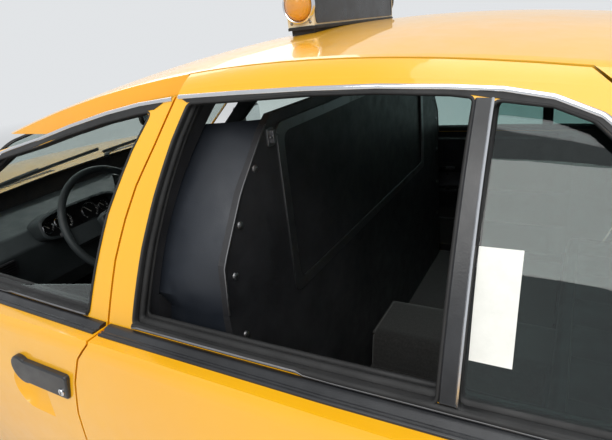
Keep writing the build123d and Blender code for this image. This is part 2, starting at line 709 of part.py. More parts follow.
def x_cylinder(x0, x1, y, z, radius):
    return Pos((x0 + x1) / 2, y, z) * Rot(0, 90, 0) * Cylinder(radius, abs(x1 - x0))


def make_engine():
    engine = block(1330, 1900, -150, 150, 330, 560)
    engine += block(1360, 1580, -120, 120, 288, 335)
    for side in (1, -1):
        bank = Pos(1615, side * 165, 600) * Rot(side * -42, 0, 0) * Box(540, 190, 170)
        engine += bank
        engine += block(1640, 1760, side * 120, side * 200, 272 + seat_gap, 420)
    engine += block(1420, 1800, -90, 90, 540, 760)
    engine += Pos(1640, 0, 790) * Cylinder(185, 80)
    engine += x_cylinder(1880, 1960, 0, 400, 85)
    engine += x_cylinder(700, 1340, 0, 430, 130)
    engine += x_cylinder(620, 710, 0, 400, 48)
    return largest(engine)


parts["engine_block"] = make_engine()

radiator = block(2230, 2300, -430, 430, front_rail_top_z + seat_gap, 650)
radiator += block(2230, 2300, -470, 470, front_rail_top_z + seat_gap, 430)
radiator += block(2230, 2262, -700, 700, 640, 752)
for side in (1, -1):
    radiator += block(2232, 2260, side * 580, side * 620, 740, 1000) & under_panels
shelf = body_inner & block(2240, 2800, -900, 900, bumper_top_z + seat_gap, lamp_low_z - seat_gap)
parts["radiator_support"] = largest(radiator + shelf)


# Wheels are built about their own centre: u along the car, v outward, w up
def spin(points):
    """A solid of revolution about the wheel's axle, from (radius, outward) points."""
    face = make_face(Polyline(*[(r, v, 0) for r, v in points], close=True))
    return revolve(face, Axis.Y, 360)


tyre_half = tyre_width / 2
rim_half = rim_width / 2


def make_tyre():
    r0, r1, r2 = rim_radius, rim_radius + 60, tyre_radius
    shoulder = tyre_half - 26
    bead = rim_radius + 14
    face = make_face([
        Line((r0, -rim_half), (r0, rim_half)),
        Line((r0, rim_half), (bead, rim_half)),
        ThreePointArc((bead, rim_half), (r1, tyre_half), (r2 - 12, tyre_half - 12)),
        ThreePointArc((r2 - 12, tyre_half - 12), (r2 - 3, tyre_half - 17), (r2, shoulder)),
        Line((r2, shoulder), (r2, -shoulder)),
        ThreePointArc((r2, -shoulder), (r2 - 3, 17 - tyre_half), (r2 - 12, 12 - tyre_half)),
        ThreePointArc((r2 - 12, 12 - tyre_half), (r1, -tyre_half), (bead, -rim_half)),
        Line((bead, -rim_half), (r0, -rim_half)),
    ])
    return revolve(face, Axis.Y, 360)


hub_back_v = -50
spindle_root_v = -57
spindle_end_v = 8


def make_wheel():
    outer, inner = rim_radius - seat_gap, rim_radius - rim_wall
    barrel = spin([
        (inner, -rim_half - 5), (rim_radius + 10, -rim_half - 5), (rim_radius + 10, -rim_half - seat_gap),
        (outer, -rim_half - seat_gap), (outer, rim_half + seat_gap), (rim_radius + 10, rim_half + seat_gap),
        (rim_radius + 10, rim_half + 5), (inner, rim_half + 5)])
    dish = spin([
        (40, 16), (118, 16), (140, 52), (168, 56), (inner + 2, 30), (inner + 2, 38), (172, 64), (134, 60),
        (112, 24), (40, 24)])
    cap = spin([(0, 18), (92, 18), (88, 44), (70, 54), (0, 60)])
    hub = spin([(0, hub_back_v), (hub_radius, hub_back_v), (hub_radius, 24), (0, 24)])
    disc = spin([(0, hub_back_v), (brake_disc_radius, hub_back_v),
                 (brake_disc_radius, hub_back_v + brake_disc_thickness), (0, hub_back_v + brake_disc_thickness)])
    wheel = barrel + dish + hub + disc + cap
    for i in range(wheel_slots):
        turn = Rot(0, 360 * i / wheel_slots, 0)
        wheel -= turn * Pos(slot_circle_radius, 60, 0) * Rot(90, 0, 0) * Cylinder(slot_radius, 60)
    bore_depth = spindle_end_v + 6 - hub_back_v
    bore = Pos(0, hub_back_v + bore_depth / 2, 0) * Rot(90, 0, 0) * Cylinder(
        spindle_radius + spindle_clearance, bore_depth)
    return largest(wheel - bore)


def make_spindle():
    length = spindle_end_v - spindle_root_v
    return Pos(0, (spindle_end_v + spindle_root_v) / 2, 0) * Rot(90, 0, 0) * Cylinder(spindle_radius, length)


def make_knuckle():
    foot_v = knuckle_face_y - 36 - half_track_front
    post_low = arm_low_z + seat_gap - axle_z
    post_high = arm_high_z - seat_gap - axle_z
    post = block(-28, 28, foot_v, spindle_root_v, post_low, post_high)
    boss = Pos(0, spindle_root_v - 16, 0) * Rot(90, 0, 0) * Cylinder(52, 32)
    bracket = block(20, 110, foot_v, spindle_root_v, -36, 36)
    caliper = block(90, 168, spindle_root_v - 20, -4, -52, 52)
    slot = Pos(0, hub_back_v + brake_disc_thickness / 2, 0) * Rot(90, 0, 0) * Cylinder(
        brake_disc_radius + 6, brake_disc_thickness + 12)
    arm = block(-150, 0, foot_v, foot_v + 24, -90, -60)
    return largest(post + boss + bracket + (caliper - slot) + arm + make_spindle())


print("wheels")
tyre_shape = make_tyre()
wheel_shape = make_wheel()
knuckle_shape = make_knuckle()
front_place = Pos(front_axle_x, half_track_front, axle_z)
rear_place = Pos(rear_axle_x, half_track_rear, axle_z)
for end, place in (("front", front_place), ("rear", rear_place)):
    parts[f"tyre_{end}_left"] = place * tyre_shape
    parts[f"tyre_{end}_right"] = mirrored(place * tyre_shape)
    parts[f"wheel_{end}_left"] = place * wheel_shape
    parts[f"wheel_{end}_right"] = mirrored(place * wheel_shape)
parts["knuckle_left"] = front_place * knuckle_shape
parts["knuckle_right"] = mirrored(front_place * knuckle_shape)

tube_end_y = half_track_rear + spindle_root_v


def make_rear_axle():
    axle = y_cylinder(rear_axle_x, axle_z, axle_tube_radius, -tube_end_y, tube_end_y)
    axle += Pos(rear_axle_x, 0, axle_z) * Rot(0, 90, 0) * Cylinder(118, 150)
    axle += x_cylinder(rear_axle_x + 60, -1150, 0, axle_z, 60)
    run = 619.7 + 1160
    tilt = degrees(atan2(400 - axle_z, run))
    middle = Pos((619.7 - 1160) / 2, 0, (400 + axle_z) / 2)
    axle += middle * Rot(0, 90 - tilt, 0) * Cylinder(34, hypot(run, 400 - axle_z) - 12)
    for side in (1, -1):
        axle += block(-1366, -880 - seat_gap, side * 380, side * 420, 268, 302)
        axle += Pos(rear_axle_x, side * 500, 385) * Cylinder(46, 30 - 2 * seat_gap)
        axle += Pos(rear_axle_x, side * half_track_rear, axle_z) * Rot(0, 0, 90 - 90 * side) * make_spindle()
    return largest(axle)


parts["rear_axle"] = make_rear_axle()

exhaust_path = FilletPolyline(
    (1500, -236, 420), (1380, -300, 205), (-1259, -300, 205), (-1259, -300, 425),
    (-1530, -300, 425), (-1820, -610, 250), (-2150, -620, 200), (-2700, -620, 196), radius=60)
pipe = sweep(Plane(origin=exhaust_path @ 0, z_dir=exhaust_path % 0) * Circle(26), path=exhaust_path)
muffler = fillet(block(-760, -240, -420, -200, 168, 242).edges().filter_by(Axis.X), 34)
exhaust = pipe + muffler + block(370, 400, -312, -288, 215, 236 - seat_gap)
parts["exhaust"] = largest(exhaust - parts["engine_block"])
tank = block(-2390, -1940, -380, 380, 262, 410 - seat_gap)
parts["fuel_tank"] = fillet(tank.edges().filter_by(Axis.Y), 40)

# Interior
driver_y = 370
wheel_centre = (640, driver_y, 925)
column_tilt = 24
steering_radius = 192
steering_rim = 13
steering_slope = Pos(*wheel_centre) * Rot(0, column_tilt - 90, 0)

dash = side_prism([(firewall_x - seat_gap, 620), (firewall_x - seat_gap, 930), (1080, 952), (905, 922), (868, 868), (905, 700),
                   (960, 620)], -826, 826, 18)
dash += steering_slope * Pos(0, 0, -46 - 220) * Cylinder(34, 440)
dash += steering_slope * Pos(0, 0, -36) * Cylinder(10, 40)
parts["dashboard"] = largest(dash)

steer_hub = Pos(0, 0, -23) * Cylinder(42, 45)
steer_wheel = Torus(steering_radius, steering_rim) + steer_hub
for angle in (0, 180):
    steer_wheel += Rot(0, 0, angle) * Pos(0, 105, -10) * Box(60, 170, 12)
steer_wheel -= Pos(0, 0, -31) * Cylinder(10 + spindle_clearance, 32)
parts["steering_wheel"] = steering_slope * largest(steer_wheel)

seat_foot_z = floor_top_z + seat_gap
SEAT_OUTLINE = [(420, seat_foot_z), (440, 540), (400, 590), (70, 560), (-50, 1000), (-70, 1140), (-150, 1140),
                (-165, 1000), (-95, seat_foot_z)]
seat = side_prism(SEAT_OUTLINE, driver_y - 255, driver_y + 255, 20)
parts["front_seats"] = Compound(children=[seat, mirrored(seat)])
BENCH_OUTLINE = [
    (-800, seat_foot_z), (-780, 540), (-820, 590), (-1210, 560), (-1310, 1000), (-1420, 1000), (-1420, 492.6),
    (-1164, 492.6), (-1164, seat_foot_z)]
parts["rear_bench"] = side_prism(BENCH_OUTLINE, -684, 684, 14) - block(-1200, -700, -113, 113, 300, 463)

partition_x = -235
partition_face = make_face(Polyline(
    (-815, seat_foot_z), (815, seat_foot_z), (815, 960), (801, 1076), (712, 1200), (607, 1303), (570, 1330),
    (-570, 1330), (-607, 1303), (-712, 1200), (-801, 1076), (-815, 960), close=True))
panel = extrude(cross_plane(partition_x) * partition_face, 16)
clear_hole = fillet(block(partition_x - 10, partition_x + 30, -540, 540, 900, 1290).edges().filter_by(Axis.X), 30)
panel -= clear_hole
panel -= block(partition_x - 10, partition_x + 30, -113, 113, 300, 463)
for side in (1, -1):
    panel += block(partition_x, -70 - seat_gap, side * 806, side * 815, 400, 800)
clear_pane = clear_hole & block(partition_x + 5, partition_x + 11, -540, 540, 900, 1290)
clear_pane = clear_pane & block(partition_x, partition_x + 30, -540 + seat_gap, 540 - seat_gap, 900.3, 1289.7)
parts["partition"] = Compound(children=[largest(panel), clear_pane])

# Roof sign on a low plinth, with a round lamp in each end
sign_x = -178
sign_depth = 76
sign_half = 290
sign_low_z = 1490
sign_top_z = 1630
sign_lamp_z = 1546
sign_lamp_radius = 38
lifted_roof = Pos(0, 0, seat_gap) * green_outer
sign = block(sign_x - sign_depth / 2, sign_x + sign_depth / 2, -sign_half, sign_half, sign_low_z, sign_top_z)
parts["roof_sign"] = fillet(sign.edges().filter_by(Axis.Y), 8)
plinth = block(sign_x - 32, sign_x + 32, -sign_half + 6, sign_half - 6, 1440, sign_low_z - seat_gap)
parts["roof_sign_plinth"] = largest(plinth - lifted_roof)
sign_lamp = y_cylinder(sign_x, sign_lamp_z, sign_lamp_radius, sign_half + seat_gap, sign_half + 26)
parts["roof_sign_lamps"] = Compound(children=[sign_lamp, mirrored(sign_lamp)])

# Door fittings: handles, and mirrors on the front doors


def make_handle(rear_x):
    """A pull flap: its front end is rounded and its rear end, a little slanted, carries the lock."""
    low, high = handle_z - handle_height / 2, handle_z + handle_height / 2
    front_x = rear_x + handle_length
    flap = make_face([
        Polyline((front_x - 58, high), (rear_x - 8, high), (rear_x + 10, low), (front_x - 52, low)),
        ThreePointArc((front_x - 52, low), (front_x, handle_z - 6), (front_x - 58, high)),
    ])
    flap = extrude(side_plane(handle_reach) * fillet(flap.vertices(), 8), handle_reach - 940)
    flap = fillet(flap.edges().group_by(Axis.Y)[-1], 5)
    return largest(flap - body_seat)


mirror_foot = block(985, 1070, 890, 1010, 935, 1000)
mirror_head = block(1010, 1100, 985, 1175, 955, 1087)
mirror_head = fillet(mirror_head.edges(), 22)
mirror_left = largest(mirror_foot + mirror_head - Pos(0, seat_gap, seat_gap) * front_door)
front_handle = make_handle(front_handle_x)
rear_handle = make_handle(rear_handle_x)
front_fittings = Compound(children=[front_handle, mirror_left])
parts["fittings_front_left"] = front_fittings
parts["fittings_front_right"] = Compound(children=[mirrored(front_handle), mirrored(mirror_left)])
parts["handle_rear_left"] = rear_handle
parts["handle_rear_right"] = mirrored(rear_handle)

os.makedirs("parts", exist_ok=True)
for old in os.listdir("parts"):
    os.remove(os.path.join("parts", old))
for name, shape in parts.items():
    export_step(shape, f"parts/{name}.step")
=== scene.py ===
import bmesh
import bpy
import math
from mathutils import Matrix, Vector
from mathutils.bvhtree import BVHTree


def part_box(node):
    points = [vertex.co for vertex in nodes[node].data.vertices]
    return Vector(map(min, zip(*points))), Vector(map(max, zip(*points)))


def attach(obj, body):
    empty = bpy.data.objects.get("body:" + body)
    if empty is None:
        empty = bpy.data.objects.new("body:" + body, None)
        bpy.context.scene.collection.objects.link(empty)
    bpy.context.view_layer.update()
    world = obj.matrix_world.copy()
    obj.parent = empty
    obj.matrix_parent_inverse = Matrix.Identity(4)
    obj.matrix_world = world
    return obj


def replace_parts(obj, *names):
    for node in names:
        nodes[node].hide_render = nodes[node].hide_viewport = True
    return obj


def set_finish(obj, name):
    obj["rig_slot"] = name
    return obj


# Taxi cab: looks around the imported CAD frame. Metres, +X to the front, +Y to the car's left, +Z up.

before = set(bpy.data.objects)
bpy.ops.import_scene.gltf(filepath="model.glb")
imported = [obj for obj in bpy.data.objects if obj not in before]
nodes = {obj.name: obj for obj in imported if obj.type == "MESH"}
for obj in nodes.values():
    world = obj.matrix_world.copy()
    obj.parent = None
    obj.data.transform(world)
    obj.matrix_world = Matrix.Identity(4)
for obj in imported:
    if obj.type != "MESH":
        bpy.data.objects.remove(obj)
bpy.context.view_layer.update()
scene = bpy.context.scene
scene.view_settings.view_transform = "Standard"
SIDES = ((1, "left"), (-1, "right"))


def mm(*points):
    """A list of points that are given in millimetres."""
    return [tuple(value / 1000 for value in point) for point in points]


# Camera, fitted to the photograph
CAMERA_PLACE = Vector((-0.82121, 1.43800, 1.48932))
CAMERA_YAW = -1.024724
CAMERA_PITCH = -0.376647
CAMERA_ROLL = -0.119121
CAMERA_FOCAL_PX = 480.07
PHOTO_WIDTH_PX = 612


def make_camera():
    forward = Vector((math.cos(CAMERA_YAW) * math.cos(CAMERA_PITCH),
                      math.sin(CAMERA_YAW) * math.cos(CAMERA_PITCH), math.sin(CAMERA_PITCH)))
    right = forward.cross(Vector((0, 0, 1))).normalized()
    up = right.cross(forward)
    c, s = math.cos(CAMERA_ROLL), math.sin(CAMERA_ROLL)
    right, up = right * c + up * s, up * c - right * s
    data = bpy.data.cameras.new("camera")
    data.sensor_width = 36
    data.lens = CAMERA_FOCAL_PX * data.sensor_width / PHOTO_WIDTH_PX
    data.clip_start, data.clip_end = 0.02, 200
    cam = bpy.data.objects.new("camera", data)
    scene.collection.objects.link(cam)
    turn = Matrix((right, up, -forward)).transposed().to_4x4()
    cam.matrix_world = Matrix.Translation(CAMERA_PLACE) @ turn
    scene.camera = cam


make_camera()

# Materials


def put(node, key, value):
    """Links an input of a node to a socket, or sets its value."""
    if isinstance(value, bpy.types.NodeSocket):
        node.id_data.links.new(value, node.inputs[key])
    else:
        node.inputs[key].default_value = value


def add_node(tree, kind, inputs=None, **props):
    node = tree.nodes.new("ShaderNode" + kind)
    for key, value in props.items():
        setattr(node, key, value)
    for key, value in (inputs or {}).items():
        put(node, key, value)
    return node


class Surface:
    """One node material: a Principled shader with short calls for the nodes before it."""

    def __init__(self, name, **sockets):
        self.mat = bpy.data.materials.new(name)
        self.mat.use_nodes = True
        self.mat.node_tree.nodes.clear()
        self.shader = self.add("BsdfPrincipled", {key.replace("_", " "): value for key, value in sockets.items()})
        self.out = self.add("OutputMaterial", {0: self.shader.outputs[0]})
        self.coords = self.add("TexCoord").outputs["Object"]

    def add(self, kind, inputs=None, **props):
        return add_node(self.mat.node_tree, kind, inputs, **props)

    def stretched(self, x, y, z):
        return self.add("Mapping", {"Vector": self.coords, "Scale": (x, y, z)}).outputs[0]

    def noise(self, scale, detail=3, rough=0.55, vector=None):
        node = self.add("TexNoise", {"Vector": vector or self.coords, "Scale": scale, "Detail": detail,
                                     "Roughness": rough})
        return node.outputs["Fac"]

    def cells(self, scale, vector=None, feature="F1", out="Distance"):
        node = self.add("TexVoronoi", {"Vector": vector or self.coords, "Scale": scale}, feature=feature)
        return node.outputs[out]

    def span(self, value, low, high, to_low=0.0, to_high=1.0):
        node = self.add("MapRange", {"Value": value, "From Min": low, "From Max": high, "To Min": to_low,
                                     "To Max": to_high})
        return node.outputs[0]

    def math(self, op, a, b=0.0):
        return self.add("Math", {0: a, 1: b}, operation=op).outputs[0]

    def mix(self, share, a, b):
        return self.add("Mix", {0: share, 6: a, 7: b}, data_type="RGBA").outputs[2]

    def color(self, value):
        put(self.shader, "Base Color", value)

    def rough(self, value):
        put(self.shader, "Roughness", value)

    def bump(self, height, strength, distance):
        node = self.add("Bump", {"Height": height, "Strength": strength, "Distance": distance})
        put(self.shader, "Normal", node.outputs[0])

    def edges(self, radius, low, high):
        """1 along worn outer edges, 0 on open faces."""
        soft = self.add("Bevel", {"Radius": radius}, samples=3).outputs[0]
        hard = self.add("NewGeometry").outputs["Normal"]
        node = self.add("VectorMath", {0: soft, 1: hard}, operation="DOT_PRODUCT")
        bend = self.math("SUBTRACT", 1.0, node.outputs["Value"])
        return self.span(bend, low, high)

    def height(self):
        return self.add("SeparateXYZ", {0: self.coords}).outputs[2]


def rgb(r, g, b):
    """A colour as it shows on screen, from 0 to 255, as linear values."""
    def linear(v):
        v /= 255
        return v / 12.92 if v <= 0.04045 else ((v + 0.055) / 1.055) ** 2.4
    return (linear(r), linear(g), linear(b), 1)


def paint_material(name, base, deep, coat, rough):
    """Glossy car paint: faint mottling, orange peel and road dust low down."""
    s = Surface(name, Coat_Weight=coat, Coat_Roughness=0.04)
    broad = s.span(s.noise(1.6, 4), 0.35, 0.65)
    body = s.mix(s.math("MULTIPLY", broad, 0.5), base, deep)
    dust_share = s.math("MULTIPLY", s.span(s.height(), 0.62, 0.2), s.span(s.noise(7, 6, 0.7), 0.3, 0.75))
    dust_share = s.math("MULTIPLY", dust_share, 0.5)
    fine = s.span(s.noise(55, 5, 0.75), 0.62, 0.78, 0, 0.10)
    body = s.mix(fine, body, rgb(225, 178, 80))
    s.color(s.mix(dust_share, body, rgb(120, 104, 80)))
    s.rough(s.math("ADD", s.math("MULTIPLY", dust_share, 0.5),
                   s.span(s.noise(18, 4), 0.3, 0.7, rough, rough + 0.12)))
    s.bump(s.noise(190, 2, 0.4), 0.05, 0.0006)
    return s.mat


def plastic_material(name, base, worn, rough, grain_scale=260, grain=0.25, wear=0.6, edge_radius=0.003, coat=0.0):
    """Moulded plastic or rubber: fine grain, uneven sheen, paler worn edges and a little dust."""
    s = Surface(name, Coat_Weight=coat, Coat_Roughness=0.12)
    edge = s.math("MULTIPLY", s.edges(edge_radius, 0.02, 0.22), s.span(s.noise(35, 5, 0.7), 0.35, 0.7, 0, wear))
    haze = s.span(s.noise(6, 5, 0.65), 0.35, 0.75, 0, 0.28)
    s.color(s.mix(edge, s.mix(haze, base, worn), worn))
    s.rough(s.span(s.noise(22, 5, 0.6), 0.3, 0.7, rough - 0.07, rough + 0.1))
    s.bump(s.cells(grain_scale), grain, 0.0004)
    return s.mat


def metal_material(name, base, dull, rough, brushed=(1, 1, 1), spots=0.25, metallic=1.0):
    """Bare or plated metal with directional scratches and dull spots."""
    s = Surface(name, Metallic=metallic)
    streak = s.noise(90, 6, 0.7, s.stretched(*brushed))
    spot = s.span(s.noise(12, 6, 0.7), 0.52, 0.72, 0, spots)
    s.color(s.mix(spot, base, dull))
    s.rough(s.math("ADD", s.span(streak, 0.3, 0.7, rough, rough + 0.12), s.math("MULTIPLY", spot, 0.4)))
    s.bump(streak, 0.08, 0.0004)
    return s.mat


def cast_material(name, base, rust, rough, rusting=0.4):
    """Rough painted or cast metal with grime and rust in patches."""
    s = Surface(name, Metallic=0.25)
    patch = s.span(s.noise(9, 7, 0.75), 0.48, 0.72, 0, rusting)
    grime = s.span(s.noise(3, 4), 0.35, 0.7, 0, 0.5)
    s.color(s.mix(patch, s.mix(grime, base, rgb(38, 34, 30)), rust))
    s.rough(s.span(s.noise(30, 4), 0.3, 0.7, rough - 0.1, rough + 0.15))
    s.bump(s.math("ADD", s.noise(160, 5, 0.7), s.math("MULTIPLY", patch, 0.6)), 0.5, 0.0012)
    return s.mat


def glass_material(name, tint, rough=0.0):
    """Tinted window glass with faint wipe marks and dust."""
    s = Surface(name, Transmission_Weight=1.0, IOR=1.45)
    smear = s.noise(5, 5, 0.7, s.stretched(1, 1, 0.35))
    s.color(s.mix(s.span(smear, 0.45, 0.8, 0, 0.25), tint, rgb(205, 216, 210)))
    s.rough(s.span(s.noise(26, 6, 0.8), 0.55, 0.8, rough, rough + 0.045))
    return s.mat


def lens_material(name, tint, ribs, transmission=0.85, rough=0.06):
    """A moulded lamp lens with fine upright flutes."""
    s = Surface(name, Transmission_Weight=transmission, IOR=1.49, Coat_Weight=0.6, Coat_Roughness=0.05)
    s.color(s.mix(s.span(s.noise(8, 4), 0.4, 0.8, 0, 0.15), tint, rgb(235, 235, 230)))
    s.rough(s.span(s.noise(30, 5), 0.4, 0.7, rough, rough + 0.08))
    wave = s.add("TexWave", {"Vector": s.coords, "Scale": ribs, "Distortion": 0.0}, bands_direction="Y")
    s.bump(wave.outputs["Fac"], 0.35, 0.0015)
    return s.mat


def vinyl_material(name, base, worn, rough, scale=420):
    """Grained seat vinyl: pebbled cells, soft creases and shine where it is rubbed."""
    s = Surface(name, Sheen_Weight=0.12, Sheen_Roughness=0.4)
    grain = s.cells(scale)
    crease = s.noise(14, 6, 0.6)
    s.color(s.mix(s.span(crease, 0.42, 0.75, 0, 0.55), base, worn))
    s.rough(s.span(crease, 0.35, 0.7, rough + 0.1, rough - 0.08))
    s.bump(s.math("ADD", grain, s.math("MULTIPLY", crease, 0.8)), 0.35, 0.0007)
    return s.mat


def cloth_material(name, base, fleck, thread=900, rough=0.9):
    """Woven or napped fabric: two crossed thread waves with flecks."""
    s = Surface(name, Sheen_Weight=0.35, Sheen_Roughness=0.6)
    warp, weft = [s.add("TexWave", {"Vector": s.coords, "Scale": thread / 6.3, "Distortion": 1.2, "Detail": 2},
                        bands_direction=direction).outputs["Fac"] for direction in "XY"]
    weave = s.math("MULTIPLY", warp, weft)
    s.color(s.mix(s.span(s.noise(130, 4, 0.8), 0.42, 0.7), base, fleck))
    s.rough(s.span(weave, 0, 1, rough - 0.1, rough))
    s.bump(s.math("ADD", weave, s.noise(60, 4)), 0.5, 0.0008)
    return s.mat


def tyre_material(name):
    s = Surface(name)
    dust = s.span(s.noise(5, 6, 0.7), 0.35, 0.75, 0.05, 0.6)
    s.color(s.mix(dust, rgb(30, 30, 31), rgb(78, 74, 68)))
    s.rough(s.span(s.noise(25, 4), 0.3, 0.7, 0.62, 0.85))
    s.bump(s.noise(240, 5, 0.7), 0.35, 0.0008)
    return s.mat


def paper_material(name):
    s = Surface(name, Roughness=0.55, Coat_Weight=0.25, Coat_Roughness=0.2)
    s.color(s.mix(s.span(s.noise(30, 5, 0.7), 0.4, 0.8, 0, 0.5), rgb(238, 238, 232), rgb(214, 215, 208)))
    s.bump(s.noise(70, 4), 0.3, 0.0006)
    return s.mat


paint = paint_material("taxi_paint", rgb(252, 186, 8), rgb(243, 170, 2), 0.75, 0.28)
bumper_paint = paint_material("bumper_paint", rgb(246, 180, 12), rgb(236, 166, 8), 0.25, 0.42)
black_trim = plastic_material("black_trim", rgb(24, 25, 28), rgb(88, 90, 94), 0.34, 300, 0.2, 0.55)
rubber = plastic_material("black_rubber", rgb(17, 17, 18), rgb(60, 60, 60), 0.62, 420, 0.35, 0.35)
dash_plastic = plastic_material("dash_plastic", rgb(38, 44, 46), rgb(84, 92, 94), 0.52, 620, 0.5, 0.4)
panel_plastic = plastic_material("panel_plastic", rgb(34, 34, 37), rgb(88, 88, 90), 0.5, 380, 0.35, 0.5)
lamp_black = plastic_material("lamp_black", rgb(12, 12, 13), rgb(50, 50, 52), 0.3, 300, 0.1, 0.3)
sign_cream = plastic_material("sign_cream", rgb(226, 217, 190), rgb(176, 166, 138), 0.38, 160, 0.12, 0.5)
chrome = metal_material("bright_trim", rgb(214, 216, 220), rgb(150, 152, 156), 0.10, (0.3, 1, 1), 0.12)
reflector = metal_material("lamp_reflector", rgb(226, 228, 230), rgb(196, 198, 200), 0.12, (1, 1, 1), 0.08)
steel = metal_material("plain_steel", rgb(134, 134, 136), rgb(96, 80, 62), 0.36, (0.2, 1, 1), 0.55)
wheel_paint = metal_material("wheel_paint", rgb(168, 170, 173), rgb(120, 112, 100), 0.38, (1, 1, 1), 0.5, 0.75)
cast = cast_material("cast_metal", rgb(92, 92, 94), rgb(104, 66, 40), 0.6)
chassis = cast_material("chassis_black", rgb(34, 35, 37), rgb(92, 58, 36), 0.6, 0.3)
under_coat = cast_material("under_coat", rgb(46, 46, 47), rgb(86, 72, 54), 0.8, 0.2)
glass = glass_material("window_glass", rgb(226, 240, 235))
dark_glass = glass_material("rear_glass", rgb(168, 196, 192))
clear_lens = lens_material("clear_lens", rgb(238, 242, 244), 60, 0.95)
red_lens = lens_material("red_lens", rgb(190, 18, 16), 75, 0.7)
sign_amber = lens_material("sign_amber", rgb(255, 190, 70), 60, 0.45)
amber_lens = lens_material("amber_lens", rgb(252, 140, 20), 60, 0.75)
vinyl = vinyl_material("seat_vinyl", rgb(38, 38, 42), rgb(70, 70, 76), 0.42)
carpet = cloth_material("carpet", rgb(34, 33, 33), rgb(62, 60, 58), 500)
headliner = cloth_material("headliner", rgb(150, 148, 140), rgb(170, 168, 160), 700)
webbing = cloth_material("belt_webbing", rgb(28, 28, 30), rgb(54, 54, 56), 1600, 0.75)
tyre_rubber = tyre_material("tyre_rubber")
paper = paper_material("blank_label")
wing_trim = plastic_material("wing_trim", rgb(27, 32, 40), rgb(52, 58, 68), 0.5, 500, 0.3, 0.3)

# The slot that a piece of each material is recorded under, where its call names no other
SLOTS = {
    "body_paint": [paint], "tyre": [tyre_rubber], "brightwork": [chrome, reflector], "plain_steel": [steel],
    "clear_lens": [clear_lens], "red_lens": [red_lens], "amber_lens": [amber_lens, sign_amber],
    "seat_vinyl": [vinyl, carpet, headliner, webbing], "sign_plastic": [paper],
    "black_plastic": [black_trim, rubber, lamp_black, dash_plastic, panel_plastic, wing_trim],
}
SLOT_OF = {mat.name: slot for slot, mats in SLOTS.items() for mat in mats}


def dress(name, *mats, pick=None):
    """Gives a CAD node its materials; pick(polygon) chooses one by number."""
    data = nodes[name].data
    data.materials.clear()
    for mat in mats:
        data.materials.append(mat)
    for poly in data.polygons:
        poly.material_index = pick(poly) if pick else 0


def inner_face(poly):
    """Faces of a left or right side panel that look inward."""
    side = 1 if poly.center.y > 0 else -1
    return poly.normal.y * side < -0.25


DRESS = (
    (chassis, "chassis_frame radiator_support"), (cast, "engine_block knuckle_left knuckle_right rear_axle"),
    (steel, "exhaust fuel_tank"), (bumper_paint, "front_bumper rear_bumper"),
    (paint, "cowl_panel parcel_shelf hood trunk_lid tail_panel fender_left fender_right"),
    (glass, "glass_front_left glass_front_right windshield"),
    (dark_glass, "glass_rear_left glass_rear_right rear_window"),
    (sign_cream, "roof_sign"), (rubber, "roof_sign_plinth"), (amber_lens, "roof_sign_lamps"),
    (dash_plastic, "dashboard steering_wheel"), (vinyl, "front_seats rear_bench"), (chrome, "grille"),
    (panel_plastic, "partition"),
    (black_trim, "fittings_front_left fittings_front_right handle_rear_left handle_rear_right"),
    (tyre_rubber, "tyre_front_left tyre_front_right tyre_rear_left tyre_rear_right"),
    (wheel_paint, "wheel_front_left wheel_front_right wheel_rear_left wheel_rear_right"),
)
for mat, node_names in DRESS:
    for node_name in node_names.split():
        dress(node_name, mat)


def inner_pillar(poly):
    """Faces of the centre pillar inside the doors' shut line, and whatever faces the cabin."""
    return inner_face(poly) or (-0.20 < poly.center.x < 0.16 and poly.center.z > 0.60)


for _, side in SIDES:
    dress(f"body_side_{side}", paint, panel_plastic, pick=lambda p: int(inner_pillar(p)))
dress("headlamps", clear_lens, reflector, pick=lambda p: int(p.normal.x < -0.3))
dress("tail_lamps", red_lens, reflector, pick=lambda p: int(p.normal.x > 0.3))
dress("floor_pan", under_coat, carpet, pick=lambda p: int(p.normal.z > 0.3))
dress("roof_panel", paint, headliner, pick=lambda p: int(p.normal.z < -0.25))

# Building pieces

SHARP = math.radians(38)


def place_piece(name, data, body, slot, soft, steps):
    """An object that rides on a body, its hard edges rounded by soft."""
    obj = bpy.data.objects.new(name, data)
    scene.collection.objects.link(obj)
    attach(obj, body)
    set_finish(obj, slot)
    if soft:
        modifier = obj.modifiers.new("soft_edges", "BEVEL")
        modifier.width, modifier.segments, modifier.limit_method = soft, steps, "ANGLE"
        modifier.harden_normals = True
    return obj


def make_piece(name, bm, mats, body="car", slot=None, sharp=SHARP, soft=0, steps=2):
    """Turns a bmesh into a piece that rides on a body, smooth apart from its sharp edges."""
    bmesh.ops.recalc_face_normals(bm, faces=bm.faces)
    for face in bm.faces:
        face.smooth = True
    for edge in bm.edges:
        edge.smooth = edge.calc_face_angle(0) < sharp
    data = bpy.data.meshes.new(name)
    bm.to_mesh(data)
    bm.free()
    for mat in (mats if isinstance(mats, list) else [mats]):
        data.materials.append(mat)
    return place_piece(name, data, body, slot or SLOT_OF[data.materials[0].name], soft, steps)


def make_pair(name, bm, mats, body="car", slot=None, sharp=SHARP, soft=0, steps=2):
    """A left piece, and its twin on the right; names and bodies say left and right."""
    left = make_piece(name, bm, mats, body, slot, sharp, soft, steps)
    data = left.data.copy()
    data.transform(Matrix.Scale(-1, 4, (0, 1, 0)))
    data.flip_normals()
    place_piece(name.replace("left", "right"), data, body.replace("left", "right"), left["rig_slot"], soft, steps)


def tree_of(*names):
    verts, polys = [], []
    for name in names:
        data = nodes[name].data
        start = len(verts)
        verts += [v.co.copy() for v in data.vertices]
        polys += [[start + i for i in p.vertices] for p in data.polygons]
    return BVHTree.FromPolygons(verts, polys)


def hit(tree, origin, direction):
    place, normal, _, _ = tree.ray_cast(Vector(origin), Vector(direction))
    if place is None:
        return None, None
    if normal.dot(Vector(direction)) > 0:
        normal = -normal
    return place, normal


